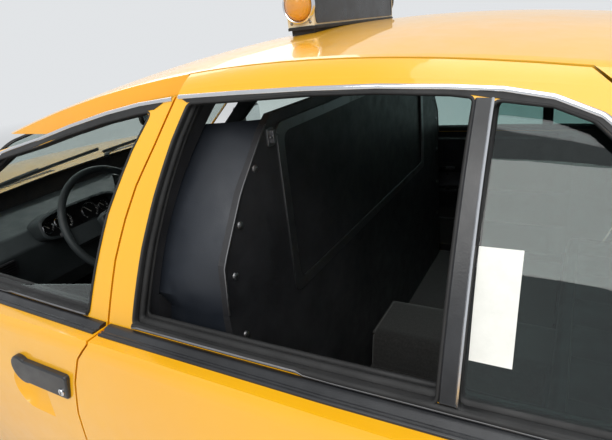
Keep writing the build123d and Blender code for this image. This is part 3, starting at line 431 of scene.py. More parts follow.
def side_hit(tree, x, z):
    """The left outer side surface at x and z."""
    return hit(tree, (x, 1.6, z), (0, -1, 0))


def refine(points, step, closed=False):
    """The same line with points at most step apart."""
    out = []
    pairs = list(zip(points, points[1:] + ([points[0]] if closed else [])))
    for a, b in pairs if closed else pairs[:len(points) - 1]:
        a, b = Vector(a), Vector(b)
        n = max(1, math.ceil((b - a).length / step))
        out += [a.lerp(b, i / n) for i in range(n)]
    if not closed:
        out.append(Vector(points[-1]))
    return out


def rounded(points, radius, closed=True, steps=5):
    """A 2-D outline with its corners rounded, by no more than its edges allow."""
    pts = [Vector(p) for p in points]
    out = []
    count = len(pts)
    for i, p in enumerate(pts):
        if not closed and i in (0, count - 1):
            out.append(p)
            continue
        a, b = pts[i - 1] - p, pts[(i + 1) % count] - p
        half = a.angle(b) / 2
        cut = min(radius / math.tan(half), a.length * 0.45, b.length * 0.45)
        start, end = p + a.normalized() * cut, p + b.normalized() * cut
        for k in range(steps + 1):
            t = k / steps
            out.append(start * (1 - t) ** 2 + p * 2 * t * (1 - t) + end * t ** 2)
    return out


def loft(bm, rings, closed=False, mats=0):
    """Faces between rings of points; mats is one material number, or a list with one for each side of a ring."""
    loops = [[bm.verts.new(p) for p in ring] for ring in rings]
    count = len(loops[0])
    for r0, r1 in zip(loops, loops[1:] + (loops[:1] if closed else [])):
        for i in range(count):
            j = (i + 1) % count
            face = bm.faces.new((r0[i], r0[j], r1[j], r1[i]))
            face.material_index = mats[i] if isinstance(mats, list) else mats
    if not closed:
        for loop in (loops[0], loops[-1][::-1]):
            bm.faces.new(loop).material_index = mats[0] if isinstance(mats, list) else mats
    return bm


def sweep(bm, frames, profile, closed=False):
    """Faces along frames (place, u, v) for a closed profile of (u, v) offsets."""
    return loft(bm, [[p + u * a + v * b for a, b in profile] for p, u, v in frames], closed)


def frames_along(places, closed=False):
    """Frames for a line of (place, normal): u across the line, v out of the surface."""
    count = len(places)
    frames = []
    for i, (place, normal) in enumerate(places):
        before = places[i - 1 if closed else max(i - 1, 0)][0]
        after = places[(i + 1) % count if closed else min(i + 1, count - 1)][0]
        frames.append((place, normal.cross((after - before).normalized()).normalized(), normal))
    return frames


def turned(frames, axis, sign):
    """The same frames with u pointing to one side of an axis."""
    return [(p, u if u[axis] * sign > 0 else -u, v) for p, u, v in frames]


def surface_frames(tree, path):
    """Frames along a path of (x, z) on the side surface."""
    found = [side_hit(tree, x, z) for x, z in path]
    return frames_along([(place, normal) for place, normal in found if place is not None])


def half_round(width, height, base=0.001, steps=6):
    """A low rounded strip profile, sunk a little into what carries it."""
    top = [(width / 2 * math.cos(math.pi * k / steps), height * math.sin(math.pi * k / steps))
           for k in range(steps + 1)]
    return [(width / 2, -base)] + top + [(-width / 2, -base)]


def revolve(bm, profile, place, axis, segments=48, closed=False):
    """Faces turned about an axis through place, for a profile of (radius, along)."""
    axis = Vector(axis).normalized()
    side = axis.orthogonal().normalized()
    up = axis.cross(side)
    turns = [2 * math.pi * k / segments for k in range(segments)]
    rings = []
    for r, h in profile:
        rings.append([bm.verts.new(Vector(place) + axis * h + (side * math.cos(a) + up * math.sin(a)) * r)
                      for a in (turns if r else turns[:1])])
    for r0, r1 in zip(rings, rings[1:] + (rings[:1] if closed else [])):
        for k in range(segments):
            n = (k + 1) % segments
            corners = (r0 if len(r0) == 1 else [r0[k], r0[n]]) + (r1 if len(r1) == 1 else [r1[n], r1[k]])
            if len(corners) > 2:
                bm.faces.new(corners)
    return bm


def prism(bm, outline, to_3d, low, high):
    """A closed slab over a 2-D outline; to_3d(point, height) places its corners."""
    return loft(bm, [[to_3d(p, h) for p in outline] for h in (low, high)])


def rect(x0, x1, y0, y1):
    return [Vector(p) for p in ((x0, y0), (x1, y0), (x1, y1), (x0, y1))]


def slab(bm, bounds, radius, to_3d, low, high):
    """A prism over a rectangle with rounded corners."""
    return prism(bm, rounded(rect(*bounds), radius), to_3d, low, high)


def band(bm, outer, inner, to_3d, low, high):
    """A flat frame between two outlines with as many points."""
    return loft(bm, [[to_3d(p, h) for p, h in ((a, low), (b, low), (b, high), (a, high))]
                     for a, b in zip(outer, inner)], closed=True)


def lying(p, h):
    return Vector((p.x, p.y, h))


def facing_x(p, h):
    return Vector((h, p.x, p.y))


def facing_y(p, h):
    return Vector((p.x, h, p.y))


# Side windows and trims, as outlines of (x, z) on the left side

FRONT_WINDOW = mm((1004, 966), (612, 1244), (411, 1283), (270, 1315), (132, 1343), (20, 1360), (-31, 1366),
                  (2, 1290), (38, 1172), (55, 1068), (69, 972))
REAR_WINDOW = mm((-68, 975), (-81, 1120), (-94, 1215), (-111, 1313), (-128, 1378), (-394, 1385), (-526, 1383),
                 (-640, 1376), (-682, 1370), (-679, 979))
QUARTER_WINDOW = mm((-703, 979), (-705, 1366), (-786, 1354), (-838, 1334), (-872, 1304), (-985, 1180),
                    (-1070, 1060), (-1108, 983))
CORNER = 0.014
left_skin = tree_of("door_front_left", "door_rear_left", "body_side_left", "fender_left", "roof_panel")
left_doors = tree_of("door_front_left", "door_rear_left")
glass_tree = tree_of("glass_rear_left")
SOFT_SHARP = math.radians(60)


def spread(outline, by):
    """A closed (x, z) outline moved out by a distance, corner by corner."""
    pts = [Vector(p) for p in outline]
    area = sum(a.cross(b) for a, b in zip(pts, pts[1:] + pts[:1]))
    turn = 1 if area > 0 else -1
    out = []
    for i, p in enumerate(pts):
        a = (p - pts[i - 1]).normalized()
        b = (pts[(i + 1) % len(pts)] - p).normalized()
        na, nb = Vector((a.y, -a.x)) * turn, Vector((b.y, -b.x)) * turn
        m = (na + nb).normalized()
        out.append(p + m * by / max(m.dot(na), 0.4))
    return out


CHANNEL = mm((-2.2, -1.6), (-0.8, -2.8), (1.5, -2.8), (3.4, -1.2), (4, 3), (4.2, 8.5), (1.8, 10), (1.6, 13.5),
             (4, 15), (7, 18), (8.2, 22), (7.6, 26), (4.8, 29), (2, 30), (1.8, 34), (5, 35.5), (5.8, 40), (3, 44),
             (-0.8, 45), (-0.8, 1.2), (-2.2, 0.8))


def nearest(p, outline):
    """The point of a closed (x, z) outline that is nearest to p."""
    found = []
    for a, b in zip(outline, outline[1:] + outline[:1]):
        a, b = Vector(a), Vector(b)
        t = max(0.0, min(1.0, (p - a).dot(b - a) / (b - a).length_squared))
        found.append(a + (b - a) * t)
    return min(found, key=lambda q: (q - p).length)


def window_wall(poly):
    """Faces of a door that line its window openings."""
    p = Vector((poly.center.x, poly.center.z))
    if p.y < 0.955 or abs(poly.normal.y) > 0.2:
        return False
    return min((nearest(p, o) - p).length for o in (FRONT_WINDOW, REAR_WINDOW, QUARTER_WINDOW)) < 0.010


for end in ("front", "rear"):
    for _, side in SIDES:
        dress(f"door_{end}_{side}", paint, panel_plastic, rubber,
              pick=lambda p: 2 if window_wall(p) else int(inner_face(p)))


def window_channel(name, outline, body):
    """The rubber run around a window: a flat lip outside, a groove for the pane and a round bead inside."""
    path = refine(rounded(spread(outline, -0.0005), CORNER, steps=6), 0.03, closed=True)
    middle = sum(path, Vector((0, 0))) / len(path)
    frames = []
    y = 0
    for i, p in enumerate(path):
        for reach in (0.004, 0.009, 0.016, 0.028):
            probe = p + (p - middle).normalized() * reach
            place, _ = side_hit(left_skin, probe.x, probe.y)
            if place is not None and place.y > 0.6:
                break
        y = y if place is None else place.y
        along = (path[(i + 1) % len(path)] - path[i - 1]).normalized()
        across = Vector((-along.y, 0, along.x))
        if across.dot(Vector((middle.x - p.x, 0, middle.y - p.y))) < 0:
            across = -across
        frames.append((Vector((p.x, y, p.y)), across, Vector((0, -1, 0))))
    make_pair(name, sweep(bmesh.new(), frames, CHANNEL, closed=True), rubber, body, sharp=SOFT_SHARP)


window_channel("front_window_channel_left", FRONT_WINDOW, "door_front_left")
window_channel("rear_window_channel_left", REAR_WINDOW, "door_rear_left")
window_channel("quarter_window_channel_left", QUARTER_WINDOW, "door_rear_left")

# Bright moulding over the windows, in two pieces that part at the doors' shut line
FRONT_MOULDING = mm((-82, 1385.5), (20, 1376.5), (132, 1359.5), (270, 1332), (411, 1299), (560, 1270), (618, 1257),
                    (700, 1200), (850, 1093.5), (985, 998.5))
REAR_MOULDING = mm((-100, 1388.5), (-250, 1391.5), (-394, 1392.5), (-526, 1390.5), (-640, 1384), (-719, 1377),
                   (-786, 1364), (-846, 1340), (-884, 1309), (-998, 1184), (-1084, 1062), (-1118, 993))
for end, line in (("front", FRONT_MOULDING), ("rear", REAR_MOULDING)):
    path = refine(rounded(line, 0.03, closed=False, steps=4), 0.02)
    make_pair(f"{end}_bright_moulding_left", sweep(bmesh.new(), surface_frames(left_doors, path),
                                                   half_round(0.0105, 0.0055)), chrome, f"door_{end}_left")

# Belt moulding: a bright lip, a satin face and two fine ribs, on the shoulder below the windows
BELT_PROFILE = mm((-21.5, -1), (-21.5, 3), (-19.5, 4.8), (-17, 4.8), (-15.5, 3), (-13.5, 3), (-12, 5.2),
                  (-9.5, 5.2), (-8, 3.2), (-6, 3.4), (-2, 7.8), (6, 9), (13.5, 8.2), (16, 6), (16, -1))
BELT_LIP = mm((15, -1), (15, 6.2), (16.2, 9), (18.4, 9), (19.8, 6.2), (19.8, -1))
SHOULDER = mm((-1950, 866), (-1120, 926), (-520, 938), (-20, 938), (600, 922), (1420, 886))


def shoulder(x):
    """Half width of the body at the belt line."""
    for (x0, y0), (x1, y1) in zip(SHOULDER, SHOULDER[1:]):
        if x <= x1 or x1 == SHOULDER[-1][0]:
            return y0 + (y1 - y0) * (x - x0) / (x1 - x0)


def belt_frames(tree, x0, x1, inset, count=44):
    """Frames along the shoulder: u towards the window, v out of the surface."""
    places = []
    for k in range(count + 1):
        x = x0 + (x1 - x0) * k / count
        place, normal = hit(tree, (x, shoulder(x) - inset, 1.10), (0, 0, -1))
        if place is not None and place.z > 0.90:
            places.append((place, normal))
    return turned(frames_along(places), 1, -1)


for end, x0, x1 in (("front", 0.014, 1.135), ("rear", -1.185, -0.003)):
    frames = belt_frames(left_doors, x0, x1, 0.006)
    for suffix, profile, mat in (("face", BELT_PROFILE, black_trim), ("lip", BELT_LIP, chrome)):
        make_pair(f"{end}_belt_{suffix}_left", sweep(bmesh.new(), frames, profile), mat, f"door_{end}_left",
                  sharp=math.radians(50))


def ribbon(first, second, lift, sink=0.002):
    """A closed strip between two lines of (place, normal), standing a little proud of both."""
    return loft(bmesh.new(), [(p - n * sink, p + n * lift, q + m * lift, q - m * sink)
                              for (p, n), (q, m) in zip(first, second)])


def lower_edge(outline, x):
    """Height of a window outline's lower side at x."""
    found = []
    for (x0, z0), (x1, z1) in zip(outline, outline[1:] + outline[:1]):
        if min(x0, x1) <= x <= max(x0, x1) and abs(x1 - x0) > 1e-6:
            found.append(z0 + (z1 - z0) * (x - x0) / (x1 - x0))
    return min(found, default=0.979)


SILL_WIPER = mm((-5.5, 0), (-5, 4.2), (-3, 6.2), (1, 6.8), (5, 5.2), (6.4, 0))
SILL_LINE = mm((-5.2, 4), (-5.6, 5.2), (-3.6, 7), (-2.2, 6.6))


def sill(name, outline, x0, x1, body):
    """Black sill between belt and window, with the outer glass wiper and its bright line."""
    first, second, bead = [], [], []
    for place, _, normal in belt_frames(left_doors, x0, x1, 0.0235, 40):
        edge, edge_normal = side_hit(left_doors, place.x, lower_edge(outline, place.x) - 0.0012)
        if edge is None or edge.y < 0.80:
            continue
        first.append((place, normal))
        second.append((edge, edge_normal))
        bead.append((place.lerp(edge, 0.55), (normal + edge_normal).normalized()))
    make_pair(f"{name}_left", ribbon(first, second, 0.0012), rubber, body, sharp=SOFT_SHARP)
    frames = turned(frames_along(bead), 1, -1)
    make_pair(f"{name}_wiper_left", sweep(bmesh.new(), frames, SILL_WIPER), rubber, body, sharp=SOFT_SHARP)
    make_pair(f"{name}_line_left", sweep(bmesh.new(), frames, SILL_LINE), steel, body, "brightwork", SOFT_SHARP)


sill("front_sill", FRONT_WINDOW, 0.072, 0.985, "door_front_left")
sill("rear_sill", REAR_WINDOW, -0.704, -0.070, "door_rear_left")
sill("quarter_sill", QUARTER_WINDOW, -1.100, -0.704, "door_rear_left")


def reveal(name, line, outlines, body):
    """Black strip between the bright moulding and the windows below it."""
    first, second = [], []
    for p in refine(line, 0.02):
        near = min((nearest(p, outline) for outline in outlines), key=lambda q: (q - p).length)
        inner = near + (p - near).normalized() * 0.0012
        outside, inside = side_hit(left_doors, p.x, p.y), side_hit(left_doors, inner.x, inner.y)
        if outside[0] is None or inside[0] is None or (outside[0] - inside[0]).length > 0.05:
            continue
        first.append(outside)
        second.append(inside)
    make_pair(name, ribbon(first, second, 0.0010), rubber, body, sharp=SOFT_SHARP)


reveal("front_reveal_left", FRONT_MOULDING, [FRONT_WINDOW], "door_front_left")
reveal("rear_reveal_left", REAR_MOULDING, [REAR_WINDOW, QUARTER_WINDOW], "door_rear_left")

# Division bar between the rear pane and the quarter pane, with a bright rear edge
BAR_PATH = mm((-691.5, 985), (-692.5, 1120), (-693, 1250), (-693.5, 1366))
BAR = mm((-13.5, -7.5), (-13.5, 2.2), (-11, 4.6), (9, 4.6), (11.5, 2.2), (11.5, -7.5))
BAR_EDGE = mm((-15.5, -7.5), (-15.5, 4), (-13, 6.2), (-11.2, 4.5), (-11.2, -7.5))
bar_frames = turned(surface_frames(left_doors, refine(BAR_PATH, 0.03)), 0, 1)
for name, profile, mat in (("division_bar_left", BAR, black_trim), ("division_bar_edge_left", BAR_EDGE, chrome)):
    make_pair(name, sweep(bmesh.new(), bar_frames, profile), mat, "door_rear_left")

# Blank label on the quarter pane
LABEL_CORNERS = mm((-705, 1181), (-763, 1180), (-763, 1039), (-707, 1039))
LABEL_THICK = 0.0005


def make_label(columns=6, rows=14):
    """A thin sheet on the pane whose lower edge curls away from it."""
    bm = bmesh.new()
    a, b, c, d = (Vector(p) for p in LABEL_CORNERS)
    sheets = [[], []]
    for j in range(rows + 1):
        spots = []
        for i in range(columns + 1):
            p = a.lerp(b, i / columns).lerp(d.lerp(c, i / columns), j / rows)
            curl = 0.0012 + 0.0035 * max(0.0, (j / rows - 0.8) * 5) ** 2 * (i / columns)
            spots.append((*side_hit(glass_tree, p.x - 0.006, p.y), curl))
        for sheet, lift in zip(sheets, (0.0, LABEL_THICK)):
            sheet.append([bm.verts.new(p + n * (curl + lift)) for p, n, curl in spots])
    rims = []
    for sheet in sheets:
        for r0, r1 in zip(sheet, sheet[1:]):
            for i in range(columns):
                bm.faces.new((r0[i], r0[i + 1], r1[i + 1], r1[i]))
        rims.append(sheet[0] + [row[-1] for row in sheet[1:]] + sheet[-1][-2::-1]
                    + [row[0] for row in sheet[-2:0:-1]])
    for i in range(len(rims[0])):
        bm.faces.new((rims[0][i - 1], rims[0][i], rims[1][i], rims[1][i - 1]))
    make_piece("window_label", bm, paper, "door_rear_left")


make_label()

# Locks and keyholes in the handles' rear ends
LOCK = mm((0, 4.5), (4.5, 4.5), (5, 4), (7.8, 4), (8.8, 2.8), (8.8, -4))
for end, x in (("front", 0.109), ("rear", -1.144)):
    body = f"door_{end}_left"
    make_pair(f"lock_{end}_left", revolve(bmesh.new(), LOCK, (x, 1.003, 0.821), (0, 1, 0), 32), chrome, body)
    make_pair(f"keyhole_{end}_left", slab(bmesh.new(), (x - 0.0009, x + 0.0009, 0.8168, 0.8252), 0.0008,
                                          facing_y, 1.0072, 1.0080), lamp_black, body)

# Roof sign: blank black panels in thin rims, a gasket at its foot, and amber lamps in bright bezels

SIGN_REAR_X, SIGN_FRONT_X = -0.216, -0.140
SIGN_HALF = 0.290
LAMP_X, LAMP_Z = -0.178, 1.546

SIGN_PANEL = (-0.2800, 0.2800, 1.5010, 1.6190)
SIGN_RIM = mm((-1.8, 0), (-1.4, 2.2), (1.4, 2.2), (1.8, 0))
SIGN_GASKET = mm((-3, -3), (-3, 3), (-1, 5), (2, 5), (2.6, -3))
BEZEL = mm((36.8, 0), (37.2, 4), (38.8, 8.5), (41, 9.8), (43.6, 8.5), (45.2, 3), (45.5, 0))
SCREW = mm((0, 1.8), (1.8, 1.8), (3.4, 1), (4, 0))


def edging(bounds, radius, to_3d, out, profile):
    """A profile swept round a rounded rectangle that lies on a plane with normal out."""
    line = refine(rounded(rect(*bounds), radius), 0.05, closed=True)
    return sweep(bmesh.new(), frames_along([(to_3d(p), Vector(out)) for p in line], closed=True), profile,
                 closed=True)


for face, x, out in (("rear", SIGN_REAR_X, -1), ("front", SIGN_FRONT_X, 1)):
    make_piece(f"roof_sign_panel_{face}", slab(bmesh.new(), SIGN_PANEL, 0.010, facing_x, x - out * 0.0004,
                                               x + out * 0.0012), lamp_black, slot="sign_plastic")
    make_piece(f"roof_sign_rim_{face}", edging(SIGN_PANEL, 0.010, lambda p: facing_x(p, x), (out, 0, 0), SIGN_RIM),
               black_trim, slot="sign_plastic")
sign_foot = (SIGN_REAR_X - 0.0015, SIGN_FRONT_X + 0.0015, -0.2915, 0.2915)
make_piece("roof_sign_gasket", edging(sign_foot, 0.012, lambda p: lying(p, 1.4905), (0, 0, 1), SIGN_GASKET), rubber)
for side, label in SIDES:
    place = (LAMP_X, side * SIGN_HALF, LAMP_Z)
    make_piece(f"roof_sign_bezel_{label}", revolve(bmesh.new(), BEZEL, place, (0, side, 0), 64, True), chrome)
    bm = bmesh.new()
    for corner_x in (SIGN_REAR_X + 0.011, SIGN_FRONT_X - 0.011):
        for corner_z in (1.504, 1.616):
            revolve(bm, SCREW, (corner_x, side * SIGN_HALF, corner_z), (0, side, 0), 20)
    make_piece(f"roof_sign_screws_{label}", bm, steel, slot="brightwork")

LENS_RADIUS = 0.0364
LENS_RINGS = 14
lens = [(0.0, 0.0275)]
for k in range(1, LENS_RINGS + 1):
    r = LENS_RADIUS * k / LENS_RINGS
    lens.append((r, 0.0270 * math.sqrt(1 - (r / 0.0380) ** 2) + (0.0007 if k % 2 else -0.0003)))
lens += [(0.0368, 0.0060), (0.0370, 0.0005), (0.0, 0.0005)]
bm = bmesh.new()
for side, _ in SIDES:
    revolve(bm, lens, (LAMP_X, side * SIGN_HALF, LAMP_Z), (0, side, 0), 72)
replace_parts(make_piece("roof_sign_lenses", bm, sign_amber, sharp=math.radians(70)), "roof_sign_lamps")

# Wheels: treaded tyres, valves, caps, nuts and trim rings

WHEELS = {"front": (1.700, 0.805), "rear": (-1.366, 0.828)}
WHEEL_Z = 0.338
TYRE_OUTSIDE = mm((89, 203), (93.5, 206.2), (96.8, 215), (99.3, 230), (104, 240), (105.2, 242.5), (106.4, 244),
                  (111.8, 260), (113, 275), (113.2, 290), (111.8, 297.5), (112.6, 298.5), (112.3, 301),
                  (110.8, 302), (108.3, 310), (103.5, 320), (99.4, 329), (94.5, 336.2))
TYRE_TREAD = mm((80, 337.6), (60.5, 338), (59, 330.5), (53.5, 330.5), (52, 338), (26.5, 338), (25, 330.5),
                (19.5, 330.5), (18, 338))
TYRE_INSIDE = mm((85, 318), (100, 290), (98, 245), (82, 207))
PITCHES = 58
TREAD_PARTS = ((0.0, 0), (0.70, 0), (0.75, 0.0062), (0.95, 0.0062))


def make_tyre(name, centre, body, node):
    """A tyre with four round grooves, and cross grooves that run out over both shoulders."""
    half = TYRE_OUTSIDE + TYRE_TREAD
    loop = half + [(-h, r) for h, r in reversed(half)] + [(-h, r) for h, r in reversed(TYRE_INSIDE)] + TYRE_INSIDE
    rings = []
    for pitch in range(PITCHES):
        for part, depth in TREAD_PARTS:
            ring = []
            for h, r in loop:
                side_shift = 0.28 * (abs(h) - 0.06) / 0.04 if abs(h) > 0.06 else 0
                turn = 2 * math.pi * (pitch + part + side_shift + (0.5 if h < 0 else 0)) / PITCHES
                if 0.0592 < abs(h) < 0.1010 and r > 0.325:
                    r -= depth
                ring.append(centre + Vector((r * math.cos(turn), h, r * math.sin(turn))))
            rings.append(ring)
    piece = make_piece(name, loft(bmesh.new(), rings, closed=True), tyre_rubber, body, sharp=math.radians(32))
    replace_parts(piece, node)


CAP = mm((0, 66.5), (18, 66), (30, 64), (34, 61.5), (36.5, 63), (50, 62), (64, 60), (70, 57.5), (72.5, 53),
         (72.5, 50), (0, 50))
NUT = mm((0, 52), (4.5, 51.5), (8.5, 49), (9.8, 44), (9.8, 24))
VALVE = mm((0, 84), (3.2, 84), (4, 82), (4, 74), (2.8, 73), (3, 62), (5.2, 56), (5.5, 42))
TRIM_RING = mm((196.5, 92.5), (198.5, 95), (202, 95.5), (205, 93.5), (205, 90.5), (196.5, 90.5))
NUT_CIRCLE, VALVE_CIRCLE = 0.0860, 0.1870
NUT_COUNT = 5

for end, (wheel_x, wheel_y) in WHEELS.items():
    for side, label in SIDES:
        where, body = f"{end}_{label}", f"wheel_{end}_{label}"
        centre = Vector((wheel_x, side * wheel_y, WHEEL_Z))
        out = (0, side, 0)
        make_tyre(f"treaded_tyre_{where}", centre, body, f"tyre_{where}")
        make_piece(f"wheel_cap_{where}", revolve(bmesh.new(), CAP, centre, out, 72), chrome, body)
        bm = bmesh.new()
        for k in range(NUT_COUNT):
            turn = 2 * math.pi * k / NUT_COUNT + 0.35
            revolve(bm, NUT, centre + Vector((math.cos(turn), 0, math.sin(turn))) * NUT_CIRCLE, out, 6)
        make_piece(f"wheel_nuts_{where}", bm, steel, body, "brightwork", math.radians(25))
        foot = centre + Vector((math.cos(1.2), 0, math.sin(1.2))) * VALVE_CIRCLE
        make_piece(f"valve_{where}", revolve(bmesh.new(), VALVE, foot, out, 16), rubber, body, "tyre")
        make_piece(f"wheel_ring_{where}", revolve(bmesh.new(), TRIM_RING, centre, out, 96, True), chrome, body)

# Outlines of CAD faces, for seals and bezels


def face_loops(node_name, pick):
    """Closed loops of (place, normal) round the chosen faces of a node."""
    data = nodes[node_name].data
    ids, spots, owners = {}, [], {}

    def spot_id(v):
        key = tuple(round(c, 4) for c in v)
        if key not in ids:
            ids[key] = len(spots)
            spots.append(v.copy())
        return ids[key]

    for poly in data.polygons:
        if not pick(poly):
            continue
        ring = [spot_id(data.vertices[i].co) for i in poly.vertices]
        for a, b in zip(ring, ring[1:] + ring[:1]):
            if a != b:
                owners.setdefault((a, b), []).append(poly.normal.copy())
    ahead = {}
    for (a, b), normals in owners.items():
        if (b, a) not in owners:
            ahead.setdefault(a, []).append((b, normals[0]))
    loops = []
    while ahead:
        start = next(iter(ahead))
        loop, here = [], start
        while here in ahead:
            b, normal = ahead[here].pop()
            if not ahead[here]:
                del ahead[here]
            loop.append((spots[here], normal))
            here = b
            if here == start:
                break
        if len(loop) > 6:
            loops.append(loop)
    return loops


def even_loop(loop, step):
    """A loop with points at even distances."""
    spots = [p for p, _ in loop]
    lengths = [(b - a).length for a, b in zip(spots, spots[1:] + spots[:1])]
    total = sum(lengths)
    count = max(12, int(total / step))
    out, i, before = [], 0, 0.0
    for k in range(count):
        want = total * k / count
        while i < len(lengths) - 1 and before + lengths[i] < want:
            before += lengths[i]
            i += 1
        t = (want - before) / max(lengths[i], 1e-9)
        a, b = loop[i], loop[(i + 1) % len(loop)]
        out.append((a[0].lerp(b[0], t), a[1].lerp(b[1], t).normalized()))
    return out, total


def seal(name, node_name, pick, profile, mat, step=0.012, longer_than=0.5):
    """A strip round every long outline of the chosen faces: u points away from the faces, v out of them."""
    bm = bmesh.new()
    for loop in face_loops(node_name, pick):
        points, total = even_loop(loop, step)
        if total > longer_than:
            frames = [(p, -u, v) for p, u, v in frames_along(points, closed=True)]
            sweep(bm, frames, profile, closed=True)
    make_piece(name, bm, mat, sharp=SOFT_SHARP)


RUBBER_LIP = mm((-10, 0.2), (-10, 1.6), (-4, 3.2), (3, 3.4), (6.2, 1.4), (6.2, -5), (3, -6), (0.5, 0.2))
LAMP_LIP = mm((-5, 0.2), (-4.5, 2.2), (0, 3), (2.2, 1.6), (2.2, -3), (0, -3))


def lamp_face(end):
    """Picks a lamp's faces towards the car's end (1 the front, -1 the rear) and its outer side."""
    def pick(p):
        ahead = p.normal.x * end
        return ahead > 0.3 or (abs(p.normal.y) > 0.6 and p.center.y * p.normal.y > 0 and ahead > -0.2)
    return pick


seal("windshield_rubber", "windshield", lambda p: p.normal.z > 0.2 and p.normal.x > 0.2, RUBBER_LIP, rubber)
seal("rear_window_rubber", "rear_window", lambda p: p.normal.z > 0.2 and p.normal.x < -0.2, RUBBER_LIP, rubber)
seal("headlamp_bezels", "headlamps", lamp_face(1), LAMP_LIP, chrome, 0.010)
seal("tail_lamp_bezels", "tail_lamps", lamp_face(-1), LAMP_LIP, chrome, 0.010)

# Bumper strips, plate, wipers, vents and other small outside pieces


def even(low, high, steps):
    """Values from low to high in even steps."""
    return [low + (high - low) * k / steps for k in range(steps + 1)]


def surface_slab(name, rows, thick, mat, soft, make=make_piece):
    """A thin slab that follows a surface, from rows of (place, normal) hits; a row with a miss is left out."""
    rings = [[p + n * thick for p, n in row] + [p - n * 0.001 for p, n in row[::-1]]
             for row in rows if all(p is not None for p, _ in row)]
    make(name, loft(bmesh.new(), rings), mat, soft=soft)


def side_patch(name, tree, span, heights, thick, mat, make=make_piece):
    rows = [[side_hit(tree, x, z) for z in even(*heights, 6)] for x in even(*span, 12)]
    surface_slab(name, rows, thick, mat, min(0.0008, thick / 2), make)


RUB_STRIP_Z = 0.598
for end, centre_x, turn in (("front", 1.9, 0), ("rear", -1.9, math.pi)):
    tree = tree_of(f"{end}_bumper")
    frames = []
    for a in even(-78, 78, 72):
        a = turn + math.radians(a)
        way = Vector((math.cos(a), math.sin(a), 0))
        place, normal = hit(tree, Vector((centre_x, 0, RUB_STRIP_Z)) + way * 3, -way)
        if place is not None:
            frames.append((place, Vector((0, 0, 1)), Vector((normal.x, normal.y, 0)).normalized()))
    make_piece(f"rub_strip_{end}", sweep(bmesh.new(), frames, half_round(0.030, 0.007)), rubber)

PLATE_X = -2.699
PLATE_Z = 0.800
PLATE_HOLES = [(y, PLATE_Z + z) for y in (-0.089, 0.089) for z in (-0.0605, 0.0605)]


def on_plate(p, h):
    return Vector((PLATE_X - h, p.x, p.y))


PLATE_SCREW = mm((0, 1), (7.5, 1), (7.5, 2.2), (5.2, 2.6), (4.6, 5.2), (1.2, 5.8), (1, 4.4), (0, 4.4))
make_piece("rear_plate_blank", slab(bmesh.new(), (-0.1525, 0.1525, PLATE_Z - 0.076, PLATE_Z + 0.076), 0.012,
                                    on_plate, 0.0, 0.0014), paper, "trunk_lid", soft=0.0005)
rim = [rounded(rect(-w, w, PLATE_Z - h, PLATE_Z + h), 0.010) for w, h in ((0.1475, 0.071), (0.1445, 0.068))]
make_piece("rear_plate_rim", band(bmesh.new(), *rim, on_plate, 0.001, 0.0024), paper, "trunk_lid")
bm = bmesh.new()
for spot in PLATE_HOLES:
    revolve(bm, PLATE_SCREW, on_plate(Vector(spot), 0), (-1, 0, 0), 24)
make_piece("rear_plate_screws", bm, steel, "trunk_lid")

# Wipers on the windshield
glass_front = tree_of("windshield")
WIPER_BLADE = mm((-3, -3.5), (3, -3.5), (3, 3), (7, 4), (6, 9), (-6, 9), (-7, 4), (-3, 3))
WIPER_ARM = mm((-7, -2), (7, -2), (5, 4), (-5, 4))
WIPER_HUB = mm((0, -12), (13, -12), (14, 10), (10, 17), (0, 18))

for name, pivot_y, span in (("driver", 0.520, (0.600, 0.020)), ("mate", -0.100, (-0.040, -0.620))):
    spots = []
    for k, y in enumerate(even(*span, 14)):
        place, normal = hit(glass_front, (1.8, y, 1.052 + 0.030 * k / 14), (-1, 0, 0))
        spots.append((place + normal * 0.004, normal))
    make_piece(f"wiper_blade_{name}", sweep(bmesh.new(), frames_along(spots), WIPER_BLADE), rubber)
    foot = Vector((1.215, pivot_y, 1.018))
    middle, normal = spots[7]
    joint = middle + normal * 0.012
    arm = [foot + Vector((0, 0, 0.012)), foot.lerp(joint, 0.25) + Vector((0, 0, 0.016)), joint]
    frames = frames_along([(p, normal) for p in arm])
    frames = [(p, u * (1.3 - 0.3 * k), v) for k, (p, u, v) in enumerate(frames)]
    bm = sweep(bmesh.new(), frames, WIPER_ARM)
    make_piece(f"wiper_arm_{name}", revolve(bm, WIPER_HUB, foot, (0.1, 0, 1), 28), black_trim, soft=0.001)

# Cowl louvres, in front of the windshield
cowl_tree = tree_of("cowl_panel")
LOUVRE = mm((-4.5, -1), (4.5, -1), (4.5, 0.4), (-2.5, 3))
for side, label in SIDES:
    bm = bmesh.new()
    for k in range(26):
        y = side * (0.160 + 0.0165 * k)
        ends = [hit(cowl_tree, (x, y, 1.6), (0, 0, -1)) for x in (1.262, 1.302)]
        if all(place is not None for place, _ in ends):
            sweep(bm, [(place, Vector((0, 1, 0)), normal) for place, normal in ends], LOUVRE)
    make_piece(f"cowl_louvres_{label}", bm, lamp_black, soft=0.0005)

